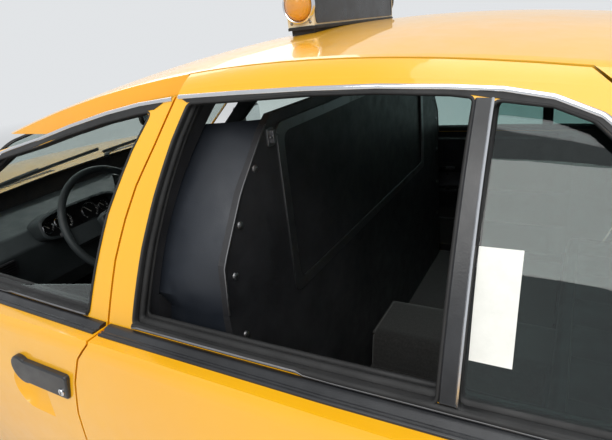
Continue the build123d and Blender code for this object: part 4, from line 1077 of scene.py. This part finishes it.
# Door mirror glasses, grille back, fuel door, trunk lock
head_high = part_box("fittings_front_left")[1]
make_pair("mirror_glass_left", slab(bmesh.new(), (1.004, head_high.y - 0.014, 0.970, head_high.z - 0.014), 0.016,
                                    facing_x, 1.0085, 1.0115), reflector, "door_front_left", soft=0.0006)
grille_low, grille_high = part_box("grille")
bm = bmesh.new()
x = grille_low.x
for k in range(27):
    y = -0.390 + 0.030 * k
    prism(bm, rect(y - 0.001, y + 0.001, grille_low.z + 0.004, grille_high.z - 0.004), facing_x, x - 0.010, x - 0.004)
prism(bm, rect(-0.400, 0.400, grille_low.z + 0.003, grille_high.z - 0.003), facing_x, x - 0.014, x - 0.009)
make_piece("grille_back", bm, lamp_black)
quarter_tree = tree_of("body_side_left")
side_patch("fuel_door_gap", quarter_tree, (-2.062, -1.898), (0.788, 0.942), 0.0005, rubber)
side_patch("fuel_door", quarter_tree, (-2.058, -1.902), (0.792, 0.938), 0.0022, paint)
TRUNK_LOCK = mm((0, -1), (15, -1), (15, 4), (12, 6), (10, 4.5), (0, 4.5))
make_piece("trunk_lock", revolve(bmesh.new(), TRUNK_LOCK, (-2.7035, 0, 0.905), (-1, 0, 0.05), 32), chrome,
           "trunk_lid")

# Headlamp bulbs and amber ends, and the patches of the tail lamps
lamp_tree = tree_of("headlamps")
BULB = mm((0, -40), (16, -40), (16, -30), (9, -26), (9, -14), (0, -10))
for side, label in SIDES:
    bm = bmesh.new()
    for y in (0.500, 0.700):
        place, _ = hit(lamp_tree, (3.2, side * y, 0.715), (-1, 0, 0))
        revolve(bm, BULB, place, (1, 0, 0), 24)
    make_piece(f"headlamp_bulbs_{label}", bm, reflector)
side_patch("headlamp_amber_left", lamp_tree, (2.352, 2.440), (0.668, 0.762), 0.0012, amber_lens, make_pair)
tail_tree = tree_of("tail_lamps")
for side, label in SIDES:
    for name, mat, low, high in (("reverse", clear_lens, 0.510, 0.600), ("amber", amber_lens, 0.612, 0.700)):
        rows = [[hit(tail_tree, (-3.2, side * y, z), (1, 0, 0)) for z in even(0.722, 0.806, 4)]
                for y in even(low, high, 8)]
        surface_slab(f"tail_{name}_{label}", rows, 0.0015, mat, 0.0006)

# Panel that closes the quarter between the belt and the foot of the rear pillar
FOOT_CENTRE = Vector((0, 0.860, 0.930))
FOOT_SPAN = (-1.3400, -1.2155)
profile = []
for k in range(14):
    a = math.radians(4 + 6 * k)
    way = Vector((0, math.cos(a), math.sin(a)))
    place, normal = hit(quarter_tree, Vector((FOOT_SPAN[0] - 0.006, 0, 0)) + FOOT_CENTRE + way * 0.6, -way)
    profile.append((place, Vector((0, normal.y, normal.z)).normalized()))
rings = []
for k in range(6):
    x = FOOT_SPAN[0] + (FOOT_SPAN[1] - FOOT_SPAN[0]) * k / 5
    outer = [Vector((x, p.y, p.z + 0.005 * max(0, i - 7) / 6)) + n * 0.0004 for i, (p, n) in enumerate(profile)]
    inner = [Vector((x, p.y, p.z)) - n * 0.006 for p, n in profile[::-1]]
    rings.append(outer + inner)
make_pair("pillar_foot_left", loft(bmesh.new(), rings), paint)

# Cabin: cushions blown up as cloth between pinned seams


def box_grid(half, cells, corner):
    """A round-cornered box about its own centre as a grid, with the grid place of each vertex."""
    bm = bmesh.new()
    verts = {}

    def vert(key):
        if key not in verts:
            p = Vector([-h + 2 * h * t / n for h, t, n in zip(half, key, cells)])
            q = Vector([max(corner - h, min(h - corner, c)) for h, c in zip(half, p)])
            verts[key] = bm.verts.new(q + (p - q).normalized() * corner)
        return verts[key]

    for fixed in range(3):
        a, b = [axis for axis in range(3) if axis != fixed]
        for level in (0, cells[fixed]):
            for i in range(cells[a]):
                for j in range(cells[b]):
                    ring = []
                    for da, db in ((0, 0), (1, 0), (1, 1), (0, 1)):
                        key = [0, 0, 0]
                        key[fixed], key[a], key[b] = level, i + da, j + db
                        ring.append(vert(tuple(key)))
                    bm.faces.new(ring)
    return bm, verts


SEAM_INSET = 0.035
SEAM_SINK = 0.006
PIPING_RADIUS = 0.0028
CLOTH_FRAMES = 20


def blow_up(obj, pinned):
    """The places of the vertices after a cloth simulation under pressure, with the pinned ones held."""
    group = obj.vertex_groups.new(name="pinned")
    group.add(pinned, 1.0, "REPLACE")
    cloth = obj.modifiers.new("cloth", "CLOTH")
    cloth.point_cache.frame_start, cloth.point_cache.frame_end = 1, CLOTH_FRAMES
    cloth.collision_settings.use_collision = False
    settings = cloth.settings
    settings.quality, settings.mass = 4, 0.25
    settings.tension_stiffness = settings.compression_stiffness = 12
    settings.shear_stiffness, settings.bending_stiffness = 6, 1.2
    settings.use_pressure, settings.uniform_pressure_force = True, 4.0
    settings.vertex_group_mass = "pinned"
    settings.effector_weights.gravity = 0
    for frame_number in range(1, CLOTH_FRAMES + 1):
        scene.frame_set(frame_number)
    shown = obj.evaluated_get(bpy.context.evaluated_depsgraph_get())
    blown = [v.co.copy() for v in shown.data.vertices]
    obj.modifiers.remove(cloth)
    scene.frame_set(1)
    return blown


def cushion(name, size, place, pleats, node, corner=0.04, cell=0.017, reach=0.02, top_width=1.0, bolster=0.012):
    """A padded piece that swells between pleats and an edge seam. Local z is the side that is sat on or leaned on."""
    half = [s / 2 for s in size]
    cells = [max(3, round(s / cell)) for s in size]
    bm, verts = box_grid(half, cells, corner)
    nx, ny, nz = cells
    ex, ey = max(1, round(SEAM_INSET / size[0] * nx)), max(1, round(SEAM_INSET / size[1] * ny))
    rows = sorted({round((p + 0.5) * ny) for p in pleats})
    lines = [[(i, j, nz) for i in range(ex, nx - ex + 1)] for j in rows + [ey, ny - ey]]
    lines += [[(i, j, nz) for j in range(ey, ny - ey + 1)] for i in (ex, nx - ex)]
    seams = {key for line in lines for key in line}
    for key, v in verts.items():
        p = v.co
        edge = abs(p.y) / half[1]
        if key in seams:
            p.z -= SEAM_SINK
        p.y *= 1 - (1 - top_width) * max(0.0, p.x / half[0])
        if p.z > 0:
            p.z += bolster * (edge ** 3 - 0.3)
        v.co = place @ p
    bm.verts.index_update()
    index = {key: v.index for key, v in verts.items()}
    pinned = [i for key, i in index.items() if key in seams or key[2] == 0]
    obj = make_piece(name, bm, vinyl, sharp=math.pi)
    points = obj.data.vertices
    start = [v.co.copy() for v in points]
    blown = blow_up(obj, pinned)
    held = set(pinned)
    for v, a, b in zip(points, start, blown):
        step = (b - a) * (0 if v.index in held else 1)
        v.co = a + step * min(1.0, reach / max(step.length, 1e-9))
    up = (place.to_3x3() @ Vector((0, 0, 1))).normalized()
    ring = [2 * math.pi * k / 6 for k in range(6)]
    bm = bmesh.new()
    for line in lines:
        spots = [points[index[key]].co.copy() for key in line]
        ends = [spots[0]] + spots + [spots[-1]]
        frames = [(p, up.cross((b - a).normalized()).normalized(), up) for a, p, b in zip(ends, spots, ends[2:])]
        sweep(bm, frames, [(PIPING_RADIUS * math.cos(t), PIPING_RADIUS * math.sin(t)) for t in ring])
    make_piece(name + "_piping", bm, webbing)
    smooth = obj.modifiers.new("smooth", "SUBSURF")
    smooth.levels = smooth.render_levels = 1
    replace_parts(obj, node)


def leaning(x, y, z, degrees):
    """A cushion's place: 0 lies flat, and more leans it up as a backrest whose local x points up."""
    turn = Matrix.Rotation(math.radians(degrees), 4, "Y")
    if degrees > 45:
        turn = turn @ Matrix.Rotation(math.pi, 4, "Z")
    return Matrix.Translation((x, y, z)) @ turn


SEAT_Y = sum(corner.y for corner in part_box("steering_wheel")) / 2
FLOOR_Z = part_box("front_seats")[0].z
PLEATS = (-0.24, 0.0, 0.24)
HEADREST_POST = mm((0, 0), (5.5, 0), (5.5, 80), (0, 80))
SEAT_SHELL = ([(-0.075, FLOOR_Z), (0.385, FLOOR_Z), (0.405, 0.462), (-0.085, 0.440)],
              [(-0.030, 0.440), (-0.146, 0.985), (-0.162, 0.985), (-0.105, 0.440)])
for side, label in SIDES:
    y = side * SEAT_Y
    cushion(f"front_cushion_{label}", (0.430, 0.480, 0.120), leaning(0.200, y, 0.495, -4.5), PLEATS, "front_seats",
            bolster=0.026)
    cushion(f"front_backrest_{label}", (0.445, 0.470, 0.085), leaning(-0.0555, y, 0.796, 74.75), PLEATS,
            "front_seats", reach=0.016, top_width=0.88, bolster=0.026)
    cushion(f"front_headrest_{label}", (0.100, 0.250, 0.052), leaning(-0.110, y, 1.076, 81.9), (), "front_seats",
            corner=0.024, cell=0.012, reach=0.009, bolster=0)
    bm = bmesh.new()
    for post in (-0.055, 0.055):
        revolve(bm, HEADREST_POST, (-0.105, y + post, 0.970), (0, 0, 1), 20)
    make_piece(f"headrest_posts_{label}", bm, chrome)
    bm = bmesh.new()
    for outline in SEAT_SHELL:
        prism(bm, rounded(outline, 0.015), facing_y, y - 0.215, y + 0.215)
    make_piece(f"seat_base_{label}", bm, panel_plastic, soft=0.006)

BENCH_PLEATS = [-0.5 + k / 8 for k in range(1, 8)]
cushion("bench_cushion", (0.385, 1.315, 0.090), leaning(-1.000, 0, 0.518, -2.5), BENCH_PLEATS, "rear_bench",
        cell=0.02)
cushion("bench_backrest", (0.430, 1.315, 0.084), leaning(-1.3235, 0, 0.782, 77.2), BENCH_PLEATS, "rear_bench",
        reach=0.017, cell=0.02)
bm = bmesh.new()
for low, high in ((-0.670, -0.1135), (0.1135, 0.670)):
    prism(bm, rounded([(-1.163, FLOOR_Z), (-0.805, FLOOR_Z), (-0.795, 0.478), (-1.163, 0.478)], 0.004), facing_y,
          low, high)
make_piece("bench_base", bm, panel_plastic, soft=0.006)

# Carpet over the tunnel
for name, x_low, x_high, half, top in (
        ("rear", -1.178, -0.238, 0.122, 0.470), ("middle", -0.216, 0.632, 0.122, 0.470),
        ("front", 0.632, 1.240, 0.182, 0.608)):
    outline = rounded([(-half - 0.03, FLOOR_Z), (-half, top), (half, top), (half + 0.03, FLOOR_Z)], 0.05,
                      closed=False, steps=8)
    rings = [[facing_x(p, x) for p in outline] for x in even(x_low, x_high, 8)]
    make_piece(f"tunnel_carpet_{name}", loft(bmesh.new(), rings), carpet, sharp=math.radians(50), soft=0.012,
               steps=4)

# Door cards: a vinyl panel with an armrest, a pocket and its switches, on the inner face of each door
CARD_CURVE_Z = 0.800
CARD_LEAN = 0.26
CARD_THIN = 0.012
DOOR_INNER_Y = 0.910
CARD_ROWS = mm((345, 0), (352, 6), (365, 10), (372, 30), (440, 36), (500, 36), (506, 30), (506, 10), (560, 10),
               (600, 16), (640, 44), (662, 52), (674, 46), (676, 20), (690, 12), (800, 16), (900, 16), (925, 12),
               (934, 0))


def inner_y(z):
    return DOOR_INNER_Y - CARD_LEAN * max(0.0, z - CARD_CURVE_Z)


def door_card(end, x_low, x_high):
    """The card as rings along the door; its armrest and pocket fade out towards both ends."""
    columns = 40
    rings = []
    for c in range(columns + 1):
        share = c / columns
        fade = max(0.0, min(1.0, share / 0.12, (1 - share) / 0.12))
        thin = min(1.0, 2 * fade)
        depths = [min(d, CARD_THIN) * thin + max(0.0, d - CARD_THIN) * fade * fade * (3 - 2 * fade)
                  for _, d in CARD_ROWS]
        x = x_low + (x_high - x_low) * share
        front = [(x, inner_y(z) - 0.001 - d, z) for (z, _), d in zip(CARD_ROWS, depths)]
        back = [(x, inner_y(z) + 0.001, z) for z in (CARD_ROWS[-1][0], CARD_CURVE_Z, CARD_ROWS[0][0])]
        rings.append([Vector(p) for p in front + back])
    mats = [2 if k < 8 else 1 if 9 <= k < 13 else 0 for k in range(len(rings[0]))]
    card = loft(bmesh.new(), rings, mats=mats)
    make_pair(f"card_{end}_left", card, [vinyl, panel_plastic, carpet], f"door_{end}_left")


def card_part(name, end, bm, mat, soft=0.0015):
    make_pair(f"{name}_{end}_left", bm, mat, f"door_{end}_left", soft=soft)


LOCK_PIN = mm((0, 0), (3.5, 0), (4.5, 22), (3, 26), (0, 26))
STUD = mm((0, 0), (3.8, 0), (3, 9), (0, 9))
STUD_PITCH = 0.011
CARD_SPANS = {"front": (0.100, 1.090), "rear": (-0.800, -0.085)}
for end, (x_low, x_high) in CARD_SPANS.items():
    door_card(end, x_low, x_high)
    x_mid = (x_low + x_high) / 2 + 0.10
    bm = slab(bmesh.new(), (x_mid - 0.09, x_mid + 0.09, 0.848, 0.898), 0.012, lying, 0.6745, 0.6805)
    for x in even(x_mid - 0.05, x_mid + 0.05, 2):
        slab(bm, (x - 0.016, x + 0.016, 0.858, 0.884), 0.004, lying, 0.6800, 0.6850)
    card_part("window_switches", end, bm, lamp_black)
    card_part("pull_cup", end, slab(bmesh.new(), (x_mid + 0.02, x_mid + 0.16, 0.750, 0.800), 0.014, facing_y,
                                    0.8905, 0.9000), lamp_black, 0.003)
    card_part("inner_handle", end, slab(bmesh.new(), (x_mid + 0.045, x_mid + 0.150, 0.766, 0.784), 0.008, facing_y,
                                        0.8820, 0.8910), chrome)
    card_part("lock_pin", end, revolve(bmesh.new(), LOCK_PIN, (x_low + 0.06, inner_y(0.934) + 0.002, 0.932),
                                       (0, -0.2, 1), 16), panel_plastic, 0.0004)
    bm = bmesh.new()
    for ring in range(1, 5):
        for k in range(6 * ring):
            turn = 2 * math.pi * k / (6 * ring)
            place = (x_high - 0.15 + STUD_PITCH * ring * math.cos(turn), DOOR_INNER_Y - 0.009,
                     0.740 + STUD_PITCH * ring * math.sin(turn))
            revolve(bm, STUD, place, (0, -1, 0), 10)
    card_part("speaker_studs", end, bm, lamp_black, 0.0003)

# Dashboard: cluster with dials, vents, radio and meter
DASH_FACE = ((0.868, 0.868), (0.905, 0.700))


def dash_x(z):
    (x0, z0), (x1, z1) = DASH_FACE
    return x0 + (x1 - x0) * (z - z0) / (z1 - z0)


def dash_slab(bm, y_low, y_high, z_low, z_high, sink, rise, radius=0.006):
    """A slab on the dashboard's lower face, from sink behind it to rise in front of it."""
    return slab(bm, (y_low, y_high, z_low, z_high), radius, lambda p, h: Vector((dash_x(p.y) - h, p.x, p.y)),
                -sink, rise)


KNOB = mm((0, 0), (13, 0), (12, 14), (10, 16), (0, 16))
LID_LOCK = mm((0, 0), (10, 0), (10, 4), (7, 6), (0, 6))
DASH_OUT = (-1, 0, -0.22)

for k, y in enumerate((0.700, 0.130, -0.130, -0.700)):
    bm = dash_slab(bmesh.new(), y - 0.062, y + 0.062, 0.800, 0.856, 0.002, 0.006, 0.010)
    make_piece(f"vent_frame_{k}", bm, panel_plastic, soft=0.0012)
    bm = bmesh.new()
    for row in range(5):
        z = 0.808 + 0.010 * row
        dash_slab(bm, y - 0.054, y + 0.054, z, z + 0.0045, 0.001, 0.0095, 0.002)
    make_piece(f"vent_slats_{k}", bm, lamp_black, soft=0.0006)
make_piece("radio_frame", dash_slab(bmesh.new(), -0.100, 0.100, 0.716, 0.790, 0.002, 0.004), panel_plastic,
           soft=0.0012)
bm = dash_slab(bmesh.new(), -0.055, 0.055, 0.752, 0.778, 0.0, 0.0065, 0.003)
for z in (0.733, 0.722):
    for y in even(-0.052, 0.052, 5):
        dash_slab(bm, y - 0.008, y + 0.008, z - 0.0035, z + 0.0035, 0.0, 0.0075, 0.002)
make_piece("radio_keys", bm, lamp_black, soft=0.0006)
bm = bmesh.new()
for y in (-0.078, 0.078):
    revolve(bm, KNOB, (dash_x(0.765) - 0.004, y, 0.765), DASH_OUT, 28)
make_piece("radio_knobs", bm, panel_plastic, soft=0.0005)
make_piece("glove_box_lid", dash_slab(bmesh.new(), -0.560, -0.240, 0.716, 0.790, 0.0, 0.0035, 0.014), dash_plastic,
           soft=0.0012)
make_piece("glove_box_lock", revolve(bmesh.new(), LID_LOCK, (dash_x(0.776) - 0.003, -0.400, 0.776), DASH_OUT, 24),
           chrome, soft=0.0004)

CLUSTER_UP = Vector((0.287, 0, 0.958))
CLUSTER_OUT = Vector((-0.958, 0, 0.287))
CLUSTER_CENTRE = Vector((0.866, SEAT_Y, 0.914))
CLUSTER_HALF = (0.165, 0.044)


def cluster_outline(grow):
    """Points round the cluster, in its own leaning plane."""
    out = []
    for k in range(48):
        t = 2 * math.pi * k / 48
        a = (CLUSTER_HALF[0] + grow) * math.copysign(abs(math.cos(t)) ** 0.5, math.cos(t))
        b = (CLUSTER_HALF[1] + grow) * math.copysign(abs(math.sin(t)) ** 0.6, math.sin(t))
        out.append(Vector((a, b)))
    return out


def on_cluster(p, h):
    return CLUSTER_CENTRE + Vector((0, 1, 0)) * p.x + CLUSTER_UP * p.y + CLUSTER_OUT * h


hood_lines = cluster_outline(0), cluster_outline(0.010)
rings = [[on_cluster(p, h) for p, h in ((a, -0.05), (b, -0.05), (b, 0.040), (a, 0.045))] for a, b in zip(*hood_lines)]
make_piece("cluster_hood", loft(bmesh.new(), rings, closed=True), dash_plastic, soft=0.002)
make_piece("cluster_face", prism(bmesh.new(), cluster_outline(0.001), on_cluster, -0.048, 0.0), lamp_black)
DIALS = ((-0.060, 0.036), (0.060, 0.036), (-0.124, 0.022), (0.124, 0.022))
DIAL_START, DIAL_TURN, DIAL_SHOWN = 225, 270, 95
rings_bm, marks_bm = bmesh.new(), bmesh.new()
for across, radius in DIALS:
    centre = Vector((across, 0))
    revolve(rings_bm, [(radius, 0), (radius, 0.004), (radius - 0.002, 0.005), (radius - 0.002, 0)],
            on_cluster(centre, 0), CLUSTER_OUT, 40, closed=True)
    count = 25 if radius > 0.03 else 9
    for k in range(count + 1):
        pointer = k == count
        turn = math.radians(DIAL_START - (DIAL_SHOWN if pointer else DIAL_TURN * k / (count - 1)))
        out = Vector((-math.cos(turn), math.sin(turn)))
        wide = Vector((out.y, -out.x)) * (0.0009 if k % 4 == 0 or pointer else 0.0005)
        low, high = (-0.2, 0.75) if pointer else (0.78 if k % 4 == 0 else 0.85, 0.92)
        corners = [centre + out * radius * r + wide * w for r, w in ((low, -1), (low, 1), (high, 1), (high, -1))]
        prism(marks_bm, corners, on_cluster, -0.0005, 0.0028 if pointer else 0.0012)
make_piece("dial_rings", rings_bm, chrome)
make_piece("dial_marks", marks_bm, paper)

# Fare meter on the dashboard, blank
make_piece("meter_case", slab(bmesh.new(), (0.900, 0.990, -0.075, 0.075), 0.010, lying, 0.924, 0.985), lamp_black,
           soft=0.004)
make_piece("meter_window", slab(bmesh.new(), (-0.060, 0.060, 0.944, 0.972), 0.004, facing_x, 0.898, 0.902),
           red_lens, soft=0.001)

# Steering wheel: a padded hub with its stitched line, and two stalks
WHEEL_CENTRE = (Vector(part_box("steering_wheel")[0]) + Vector(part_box("steering_wheel")[1])) / 2
WHEEL_AXIS = Vector((-0.9135, 0, 0.4067))
WHEEL_UP = Vector((0.4067, 0, 0.9135))
HORN_PAD = mm((-75, 30), (75, 30), (62, -45), (30, -75), (-30, -75), (-62, -45))
STITCH = mm((-1.2, -1), (1.2, -1), (0.8, 1), (-0.8, 1))
STALK = mm((0, 0), (4.5, 0), (5.5, 100), (8.5, 125), (7, 152), (0, 154))


def on_wheel(p, h):
    return WHEEL_CENTRE + Vector((0, 1, 0)) * p.x + WHEEL_UP * p.y + WHEEL_AXIS * h


pad = rounded(HORN_PAD, 0.02)
make_piece("horn_pad", prism(bmesh.new(), pad, on_wheel, 0.000, 0.034), dash_plastic, "steering_wheel", soft=0.010,
           steps=4)
frames = []
for k, p in enumerate(pad):
    along = (pad[(k + 1) % len(pad)] - pad[k - 1]).normalized()
    frames.append((on_wheel(p * 0.80, 0.034), Vector((0, 1, 0)) * along.y - WHEEL_UP * along.x, WHEEL_AXIS))
make_piece("horn_pad_stitch", sweep(bmesh.new(), frames, STITCH, closed=True), rubber, "steering_wheel")
bm = bmesh.new()
for side, _ in SIDES:
    foot = WHEEL_CENTRE - WHEEL_AXIS * 0.075 + Vector((0, side * 0.028, 0))
    revolve(bm, STALK, foot, Vector((-0.02, side, 0.22)) * 0.15, 20)
make_piece("column_stalks", bm, panel_plastic)

# Mirror, visors, dome lamp, belts
MIRROR_STEM = mm((0, 0), (10, 0), (7, 70), (0, 70))
BELT_WEB = mm((-23, -0.8), (23, -0.8), (23, 0.8), (-23, 0.8))
BELT_ENDS = (-0.030, 0.690, 1.235), (0.005, 0.800, 0.420)
make_piece("inner_mirror_stem", revolve(bmesh.new(), MIRROR_STEM, (0.700, 0, 1.300), (-0.35, 0, -1), 20), lamp_black)
for name, mat, low, high, grow, soft in (("case", lamp_black, 0.0, 0.022, 1.0, 0.006),
                                         ("glass", reflector, -0.0015, 0.001, 0.93, 0.0006)):
    face = [p * grow for p in rounded(rect(-0.115, 0.115, -0.028, 0.028), 0.022)]
    make_piece(f"inner_mirror_{name}", prism(bmesh.new(), face, lambda p, h: Vector(
        (0.668 + h + 0.12 * p.y, p.x, 1.235 + p.y)), low, high), mat, soft=soft)
for side, label in SIDES:
    make_piece(f"sun_visor_{label}", slab(bmesh.new(), (0.465, 0.625, 0.110, 0.500), 0.03, lambda p, h: Vector(
        (p.x, side * p.y, h + 1.300 - 0.24 * (p.x - 0.465))), 0.0, 0.016), headliner, soft=0.006, steps=3)
    top, low = (Vector((x, side * y, z)) for x, y, z in BELT_ENDS)
    out = Vector((0, -side, 0))
    frames = [(top.lerp(low, t) + out * 0.018 * math.sin(math.pi * t), Vector((1, 0, 0)), out)
              for t in even(0, 1, 16)]
    make_piece(f"seat_belt_{label}", sweep(bmesh.new(), frames, BELT_WEB), webbing)
    bm = bmesh.new()
    for x, y, z in BELT_ENDS:
        slab(bm, (x - 0.028, x + 0.028, z - 0.030, z + 0.030), 0.012, facing_y, side * (y - 0.006),
             side * (y + 0.060))
    make_piece(f"belt_anchors_{label}", bm, panel_plastic, soft=0.002)
    make_piece(f"belt_buckle_{label}", slab(bmesh.new(), (0.030, 0.075, 0.520, 0.600), 0.008, lambda p, h: Vector(
        (p.x - (p.y - 0.52) * 0.2, side * (0.128 + h), p.y)), -0.016, 0.0), panel_plastic, soft=0.002)
make_piece("dome_lamp", slab(bmesh.new(), (-0.200, -0.080, -0.045, 0.045), 0.012, lying, 1.428, 1.446), clear_lens,
           soft=0.004, steps=3)

# Partition: an edge strip with a bright line, wings to the pillars, rivets, the pane's rails and a latch
PARTITION_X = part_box("partition")[0].x
EDGE_X = PARTITION_X + 0.008
partition_tree = tree_of("partition")
WING_FRONT_X = -0.062
EDGE_STRIP = mm((-9.5, -4), (6.5, -4), (6.5, 1.2), (-9.5, 1.2))
EDGE_LINE = mm((-10.7, -1.2), (-8.3, -1.2), (-8.3, 2.6), (-10.7, 2.6))
RIVET = mm((0, -1), (9, -1), (7.5, 3), (4, 4.8), (0, 5.5))


def edge_y(z):
    """The partition's half width at z."""
    place, _ = hit(partition_tree, (EDGE_X, 1.2, z), (0, -1, 0))
    return place.y if place else 0.60


for side, label in SIDES:
    frames = []
    for k in range(18):
        z = 1.312 - 0.02 * k
        frames.append((Vector((EDGE_X, side * edge_y(z), z)), Vector((1, 0, 0)), Vector((0, side, 0))))
    make_piece(f"partition_edge_{label}", sweep(bmesh.new(), frames, EDGE_STRIP), panel_plastic, soft=0.0008)
    make_piece(f"partition_line_{label}", sweep(bmesh.new(), frames, EDGE_LINE), steel)
    rings = []
    far_y = 0.850
    for z in even(0.420, 1.320, 20):
        post, _ = hit(quarter_tree, (WING_FRONT_X, 0.3, z), (0, 1, 0))
        near = Vector((PARTITION_X + 0.010, side * (edge_y(z) - 0.002), z))
        far_y = post.y - 0.001 if post else far_y
        far = Vector((WING_FRONT_X, side * far_y, z))
        bow = Vector((-0.010, side * 0.006, 0))
        face = [near.lerp(far, t) + bow * math.sin(math.pi * t) for t in even(0, 1, 8)]
        rings.append(face + [p + Vector((0.004, -side * 0.002, 0)) for p in face[::-1]])
    make_piece(f"partition_wing_{label}", loft(bmesh.new(), rings), wing_trim)
bm = bmesh.new()
for side, _ in SIDES:
    for z in (1.232, 1.136, 1.041, 0.900, 0.740, 0.580):
        y = min(edge_y(z), 0.800) - 0.026
        for face_x, way in ((PARTITION_X, -1), (PARTITION_X + 0.016, 1)):
            revolve(bm, RIVET, (face_x, side * y, z), (way, 0, 0), 20)
make_piece("partition_rivets", bm, steel)
rails = rounded(rect(-0.560, 0.560, 0.880, 1.306), 0.03), rounded(rect(-0.532, 0.532, 0.908, 1.282), 0.03)
for k, (low, high) in enumerate(((-0.004, 0.0006), (0.0154, 0.020))):
    make_piece(f"pane_rail_{k}", band(bmesh.new(), *rails, facing_x, PARTITION_X + low, PARTITION_X + high), steel,
               soft=0.0008)
bm = slab(bmesh.new(), (0.570, 0.596, 1.262, 1.302), 0.005, facing_x, PARTITION_X + 0.001, PARTITION_X - 0.004)
slab(bm, (0.576, 0.588, 1.268, 1.298), 0.004, facing_x, PARTITION_X - 0.003, PARTITION_X - 0.014)
revolve(bm, [(0, 0), (0.0035, 0), (0.0035, 0.030), (0, 0.031)], (PARTITION_X - 0.009, 0.566, 1.283), (0, 1, 0), 20)
make_piece("partition_latch", bm, steel, soft=0.001)

# Floor, light and background
BACKDROP = (0.80, 0.82, 0.84, 1)
BACKDROP_LEVEL = 0.95


def make_stage():
    s = Surface("studio_floor", Roughness=0.9)
    s.color(s.mix(s.span(s.noise(0.7, 3), 0.3, 0.7, 0, 0.25), (0.82, 0.82, 0.81, 1), (0.76, 0.76, 0.755, 1)))
    away = s.add("VectorMath", {0: s.coords}, operation="LENGTH").outputs["Value"]
    glow = s.add("Emission", {"Color": BACKDROP, "Strength": BACKDROP_LEVEL})
    fade = s.add("MixShader", {0: s.span(away, 5.0, 14.0)})
    put(fade, 1, s.shader.outputs[0])
    put(fade, 2, glow.outputs[0])
    put(s.out, "Surface", fade.outputs[0])
    bpy.ops.mesh.primitive_circle_add(vertices=96, radius=60, fill_type="NGON", location=(0, 0, -0.0005))
    floor = bpy.context.object
    floor.name = "studio_floor"
    floor.data.materials.append(s.mat)

    world = bpy.data.worlds.new("studio_world")
    scene.world = world
    world.use_nodes = True
    world.node_tree.nodes.clear()

    def add(kind, inputs=None, **props):
        return add_node(world.node_tree, kind, inputs, **props).outputs

    rays = add("LightPath")
    seen = add("Math", {0: rays["Is Camera Ray"], 1: rays["Is Glossy Ray"]}, operation="MAXIMUM")
    seen = add("Math", {0: seen[0], 1: rays["Is Transmission Ray"]}, operation="MAXIMUM")
    light = add("Background", {"Color": (0.92, 0.96, 1.0, 1), "Strength": 0.45})
    shown = add("Background", {"Color": BACKDROP, "Strength": BACKDROP_LEVEL})
    add("OutputWorld", {"Surface": add("MixShader", {0: seen[0], 1: light[0], 2: shown[0]})[0]})


def area_light(name, place, target, size, power, color=(1, 1, 1)):
    data = bpy.data.lights.new(name, "AREA")
    data.shape = "RECTANGLE"
    data.size, data.size_y = size
    data.energy = power
    data.color = color
    light = bpy.data.objects.new(name, data)
    scene.collection.objects.link(light)
    light.location = place
    light.rotation_euler = (Vector(target) - Vector(place)).to_track_quat("-Z", "Y").to_euler()


make_stage()
area_light("key_light", (-1.5, 5.5, 6.0), (0, 0, 0.8), (7, 3.5), 330, (1.0, 0.985, 0.95))
area_light("fill_light", (5.5, -5.0, 5.0), (0, 0, 0.7), (6, 4), 140)
area_light("top_light", (-1.0, 0.0, 6.5), (-0.5, 0, 1), (6, 3), 130)
